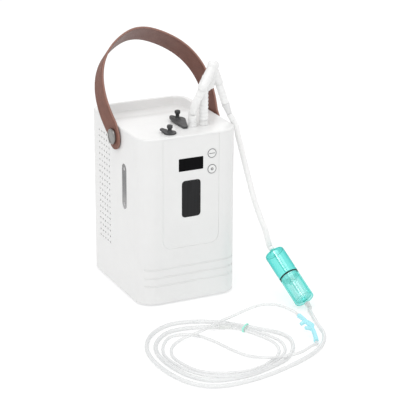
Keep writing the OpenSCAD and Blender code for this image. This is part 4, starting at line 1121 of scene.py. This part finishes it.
# centre lines through (x, y, z)
SUPPLY_PATH = [
    SUPPLY_START, SUPPLY_START - TRAP_AIM * 3, SUPPLY_START - TRAP_AIM * 9,
    (139.5, -217, 3.3), (133.5, -238.8, 3), (126.4, -265, 3), (118, -298, 3), (99, -327, 3),
    (76, -346, 3), (46, -362, 3), (8, -376, 3), (-25, -385, 3), (-57, -389, 3),
    (-84, -388, 3), (-108, -378, 3), (-126, -356, 3), (-137, -321, 3), (-140, -277, 3),
    (-133, -237, 3), (-113, -202, 3), (-85, -180, 3), (-57, -174, 3), (-24, -183, 3),
    (4, -201, 3), (28.2, -229.4, 3.95), (46, -247, 3), (62, -268, 3), (66, -293, 3),
    (53, -324, 3), (29, -349, 3), (-5, -364, 3), (-40, -373, 3), (-74, -372, 3),
    (-99, -362, 3), (-116, -339, 3), (-125, -306, 3), (-127, -270, 3), (-120, -238, 3),
    (-102, -212, 3), (-78, -197, 3), (-49, -197, 3), (-24, -206, 3.4), (-9, -212.5, 3.6)]
CANNULA_PATH_A = [
    (97.7, -256.4, 20.3), (94, -247, 23.5), (82, -233, 28), (70, -225, 29.5),
    (58, -219, 28.5), (45, -214, 25), (30, -210, 19), (13, -209, 14), (-3, -211, 11.5),
    (-20, -217, 10.5), (-43, -227, 9.5), (-59, -229, 7.5), (-79, -231, 3.5),
    (-98, -246, 2.2), (-109, -271, 2.2), (-108, -298, 2.2), (-98, -327, 2.2),
    (-80, -345, 2.2), (-51, -356, 2.2), (-24, -357, 2.2), (4, -347, 2.2), (29, -327, 2.2),
    (40, -299, 2.2), (36, -272, 2.2), (20.2, -236.2, 3.1), (12, -225, 3.1),
    (7.2, -222.2, 3.4)]
CANNULA_PATH_B = [
    (94, -318.6, 4.1), (90, -327, 5.2), (76, -338, 9.6), (55, -350, 10.4), (38, -354, 10.4),
    (19, -350, 9), (0, -337, 6), (-15, -313, 2.4), (-25, -288, 2.2), (-32, -262, 2.2),
    (-39, -242, 2.2), (-48, -225, 2.2), (-62, -214, 2.2), (-84, -212, 2.2),
    (-103, -230, 2.2), (-117, -259, 2.2), (-118, -290, 2.2), (-110, -321, 2.2),
    (-93, -347, 2.2), (-66, -363.5, 2.2), (-34, -365.5, 2.2), (2, -354, 2.2),
    (36, -330, 2.2), (50, -299, 2.2), (45, -268, 2.2), (24, -233, 3.1), (15, -221.5, 3.1),
    (9.2, -218.6, 3.4)]


def build_coil():
    """Supply tube, the two cannula tubes, the supply cuff and the splitter."""
    # name, path, radius, material, sides, rim rounding, slot
    for name, path, radius, material, sides, rim, slot in (
            ("tube_supply", SUPPLY_PATH, 2.92, "supply_vinyl", 18, 0.3, "supply_tube"),
            ("tube_left", CANNULA_PATH_A, 2.12, "cannula_vinyl", 16, 0.25, "cannula_tube_a"),
            ("tube_right", CANNULA_PATH_B, 2.12, "cannula_vinyl", 16, 0.25,
             "cannula_tube_b")):
        assign(tube(name, path, 6, radius, material, sides, rim), slot)
    cuff = rounded([(3.0, 0), (4.5, 0, 0.5), (4.5, 2, 0.8), (3.2, 10, 0.1), (3.0, 10)])
    assign(lathe("tube_supply_cuff", cuff, axis_matrix(SUPPLY_START, SUPPLY_START - TRAP_AIM),
                 "supply_cuff_vinyl", 36, closed=True), "supply_tube", replaces=False)
    start, end = Vector((-8.6, -212.7, 3.6)), Vector((7.9, -220.6, 3.5))
    length = (end - start).length
    splitter = rounded([
        (0, 0.05), (2.9, 0.05, 0.3), (3.4, 1, 0.4), (3.4, 8, 0.8), (2.6, 10, 0.9),
        (3.1, 15, 0.9), (3.1, length - 0.9, 0.4), (0, length - 0.9)])
    assign(lathe("splitter_body", splitter, axis_matrix(start, end), "splitter_vinyl", 36),
           "tube_splitter")


def nose_flap():
    """Tilted flat stadium beside the nosepiece."""
    matrix = (Matrix.Translation((102.6, -284.5, 16.2))
              @ Matrix.Rotation(math.radians(-58), 4, "Y")
              @ Matrix.Rotation(math.radians(12), 4, "X"))
    rings = []
    for z, inset in ((-0.7, 0.5), (-0.4, 0.05), (0.4, 0.05), (0.7, 0.5)):
        radius = 3.5 - inset
        ring = []
        for k in range(40):
            angle = 2 * math.pi * k / 40
            centre = 5.0 if math.sin(angle) > 0 else -5.0
            ring.append(matrix @ Vector((radius * math.cos(angle),
                                         centre + radius * math.sin(angle), z)))
        rings.append(ring)
    return skin(rings)


def build_nosepiece():
    """Curved tube, end sockets, two prongs and a flap run into one soft moulding."""
    path = smooth_path([(94.6, -317, 4.6), (98, -308, 7.5), (101, -296, 11.5),
                        (101.6, -284, 14.5), (100.4, -271, 17.6), (98, -258, 20)], 8)
    parts = [skin(tube_rings(path, 3.1, 20))]
    for end, inward in ((path[0], path[6]), (path[-1], path[-7])):
        parts.append(rod(end, end + (inward - end).normalized() * 9, 3.6, 3.3, 20))
    for root, target, length in (
            (Vector((101.2, -294, 12)), Vector((90, -292.8, 16)), 11),
            (Vector((100.9, -275, 16.6)), Vector((91.4, -276.2, 14.6)), 8.5)):
        aim = (target - root).normalized()
        prong = smooth_path([root, root + aim * length * 0.5 + Vector((0, 0, 0.5)),
                             root + aim * length,
                             root + aim * (length + 1.6) + Vector((0, 0, -0.3))], 6)
        parts.append(skin(tube_rings(prong, 3.1, 18, rim=0.8, taper=0.5)))
    parts.append(nose_flap())
    assign(fuse("nosepiece_soft", parts, voxel=0.42, smoothing=4,
                material="nosepiece_blue"), "nosepiece")


def build_tie():
    """Flat loop with rounded edges round the coil."""
    along = Vector((0.65, -0.76, 0)).normalized()
    centre = Vector((24.3, -232.9, 4.2))
    side = UP.cross(along).normalized()
    radius, half_flat = 3.75, 6.3
    # position along the tubes, height over the band's middle
    section = ((-1.3, -0.15), (-1.1, 0.28), (-0.6, 0.42), (0.6, 0.42),
               (1.1, 0.28), (1.3, -0.15), (0.9, -0.42), (-0.9, -0.42))
    rings = []
    for k in range(56):
        angle = 2 * math.pi * k / 56
        cos, sin = math.cos(angle), math.sin(angle)
        offset = half_flat if cos > 0 else -half_flat
        rings.append([centre + side * (offset + (radius + height) * cos)
                      + UP * (radius + height) * sin + along * shift
                      for shift, height in section])
    assign(make("tie_band", *skin(rings, loop=True), "tie_green"), "coil_tie")


# ------------------------------------------------------------------ build

build_cover()
build_strap()
build_strap_bolts()
build_plug("plug_rear", REAR_PORT, turn=-8, big=12.2, small=4.4, length=38, thick=3.3,
           top=16.4, curl=((-0.8, 0.6), 3.8, 2, 13), body="rear_port_plug", slot="rear_plug")
build_plug("plug_front", FRONT_PORT, turn=-136, big=9.8, small=5.4, length=10, thick=2.6,
           top=13.2, curl=((-0.69, 0.72), 3.6, 4, 14), body="front_port_plug",
           slot="front_plug")
build_button("key_power", 228.5, "power_key", "power_button", "bar")
build_button("key_set", 204.2, "set_key", "set_button", "ring")
build_level_studs()
build_outlet_nut("a", OUTLET_A, 7.4)
build_outlet_nut("b", OUTLET_B, 6.9)
build_ribbed("hose_leg_ribbed", LEG_A_START, LEG_A_END, crest=7.0, valley=6.35, bore=4.5,
             ribs=8, material="hose_ribbed_vinyl", slot="ribbed_leg_hose")
build_smooth_leg()
build_manifold()
build_ribbed("hose_branch", BRANCH_START, JOINER_START, crest=5.7, valley=5.35, bore=3.1,
             ribs=7, material="hose_vinyl", slot="branch_hose")
build_joiner()
build_long_hose()
build_trap()
build_coil()
build_nosepiece()
build_tie()

# ------------------------------------------------------------------ CAD pieces

# material: the CAD pieces that wear it; every other piece wears trim_white
WORN_BY = {
    "shell_white": "housing",
    "tray_grey": "base_tray",
    "foot_rubber": "rubber_foot_strip",
    "screw_steel": "case_screws",
    "display_black": "display_lens",
    "black_plastic": "display_module power_inlet sieve_manifold solenoid_valves "
                     "intake_silencer fan_frame fan_rotor",
    "black_gloss": "rocker_switch",
    "circuit_board": "control_board main_board",
    "window_smoked": "front_window",
    "level_window": "water_level_window",
    "tank_clear": "water_tank",
    "washer_nylon": "strap_washers",
    "intake_foam": "filter_foam",
    "cast_aluminium": "compressor_body",
    "shaft_steel": "compressor_crank",
    "machined_aluminium": "cylinder_heads piston_left piston_right",
    "mount_rubber": "compressor_mounts",
    "drawn_aluminium": "sieve_beds oxygen_buffer",
    "regulator_brass": "pressure_regulator",
    "supply_case": "power_supply",
    "silicone_line": "air_lines outlet_lines",
}
material_of = {piece: name for name, pieces in WORN_BY.items() for piece in pieces.split()}
for name, piece in NODES.items():
    piece.data.materials.clear()
    piece.data.materials.append(MATS[material_of.get(name, "trim_white")])

# ------------------------------------------------------------------ floor, light, camera

FLOOR_HALF, FLOOR_Z = 9000, -0.02
floor = make("studio_floor",
             [(x * FLOOR_HALF, y * FLOOR_HALF, FLOOR_Z)
              for x, y in ((-1, -1), (1, -1), (1, 1), (-1, 1))],
             [(0, 1, 2, 3)], "studio_floor", smooth=False)

scene = bpy.context.scene
world = bpy.data.worlds.new("studio")
scene.world = world
world.use_nodes = True
background = world.node_tree.nodes["Background"]
background.inputs["Color"].default_value = (1.0, 1.0, 1.0, 1)
background.inputs["Strength"].default_value = 0.84

# name, location, target, width and height, power in watts
for name, location, target, (width, height), power in (
        ("key_top", (-0.5, -0.7, 2.2), (0, -0.1, 0.15), (1.6, 1.6), 11.5),
        ("fill_left", (-2.0, -0.9, 0.9), (0, 0, 0.15), (1.2, 1.2), 0.8),
        ("rim_back", (0.9, 1.6, 1.4), (0, 0, 0.2), (1.0, 1.0), 6),
        ("streak", (-1.1, -0.55, 2.0), (0.13, -0.16, 0.04), (0.45, 0.45), 3.4),
        ("front_wash", (0.7, -2.6, 1.5), (0, 0, 0.2), (2.0, 1.4), 5)):
    data = bpy.data.lights.new(name, "AREA")
    data.shape = "RECTANGLE"
    data.size, data.size_y = width, height
    data.energy = power
    light = bpy.data.objects.new(name, data)
    scene.collection.objects.link(light)
    light.location = location
    aim = Vector(target) - Vector(location)
    light.rotation_euler = aim.to_track_quat("-Z", "Y").to_euler()

yaw, pitch, roll = math.radians(-25.854), math.radians(20.137), math.radians(0.351)
back = Vector((math.sin(yaw) * math.cos(pitch), -math.cos(yaw) * math.cos(pitch),
               math.sin(pitch)))
level_right = (-back).cross(UP).normalized()
level_up = level_right.cross(-back)
camera_x = level_right * math.cos(roll) + level_up * math.sin(roll)
camera_y = -level_right * math.sin(roll) + level_up * math.cos(roll)
camera_data = bpy.data.cameras.new("cam")
camera_data.sensor_width = 36
camera_data.lens = 146.3451923
camera_data.clip_end = 50
camera = bpy.data.objects.new("cam", camera_data)
scene.collection.objects.link(camera)
placing = Matrix((camera_x, camera_y, back)).transposed().to_4x4()
placing.translation = Vector((-0.9999, -2.2205, 1.0078))
camera.matrix_world = placing
scene.camera = camera
scene.view_settings.view_transform = "Standard"
scene.view_settings.look = "None"
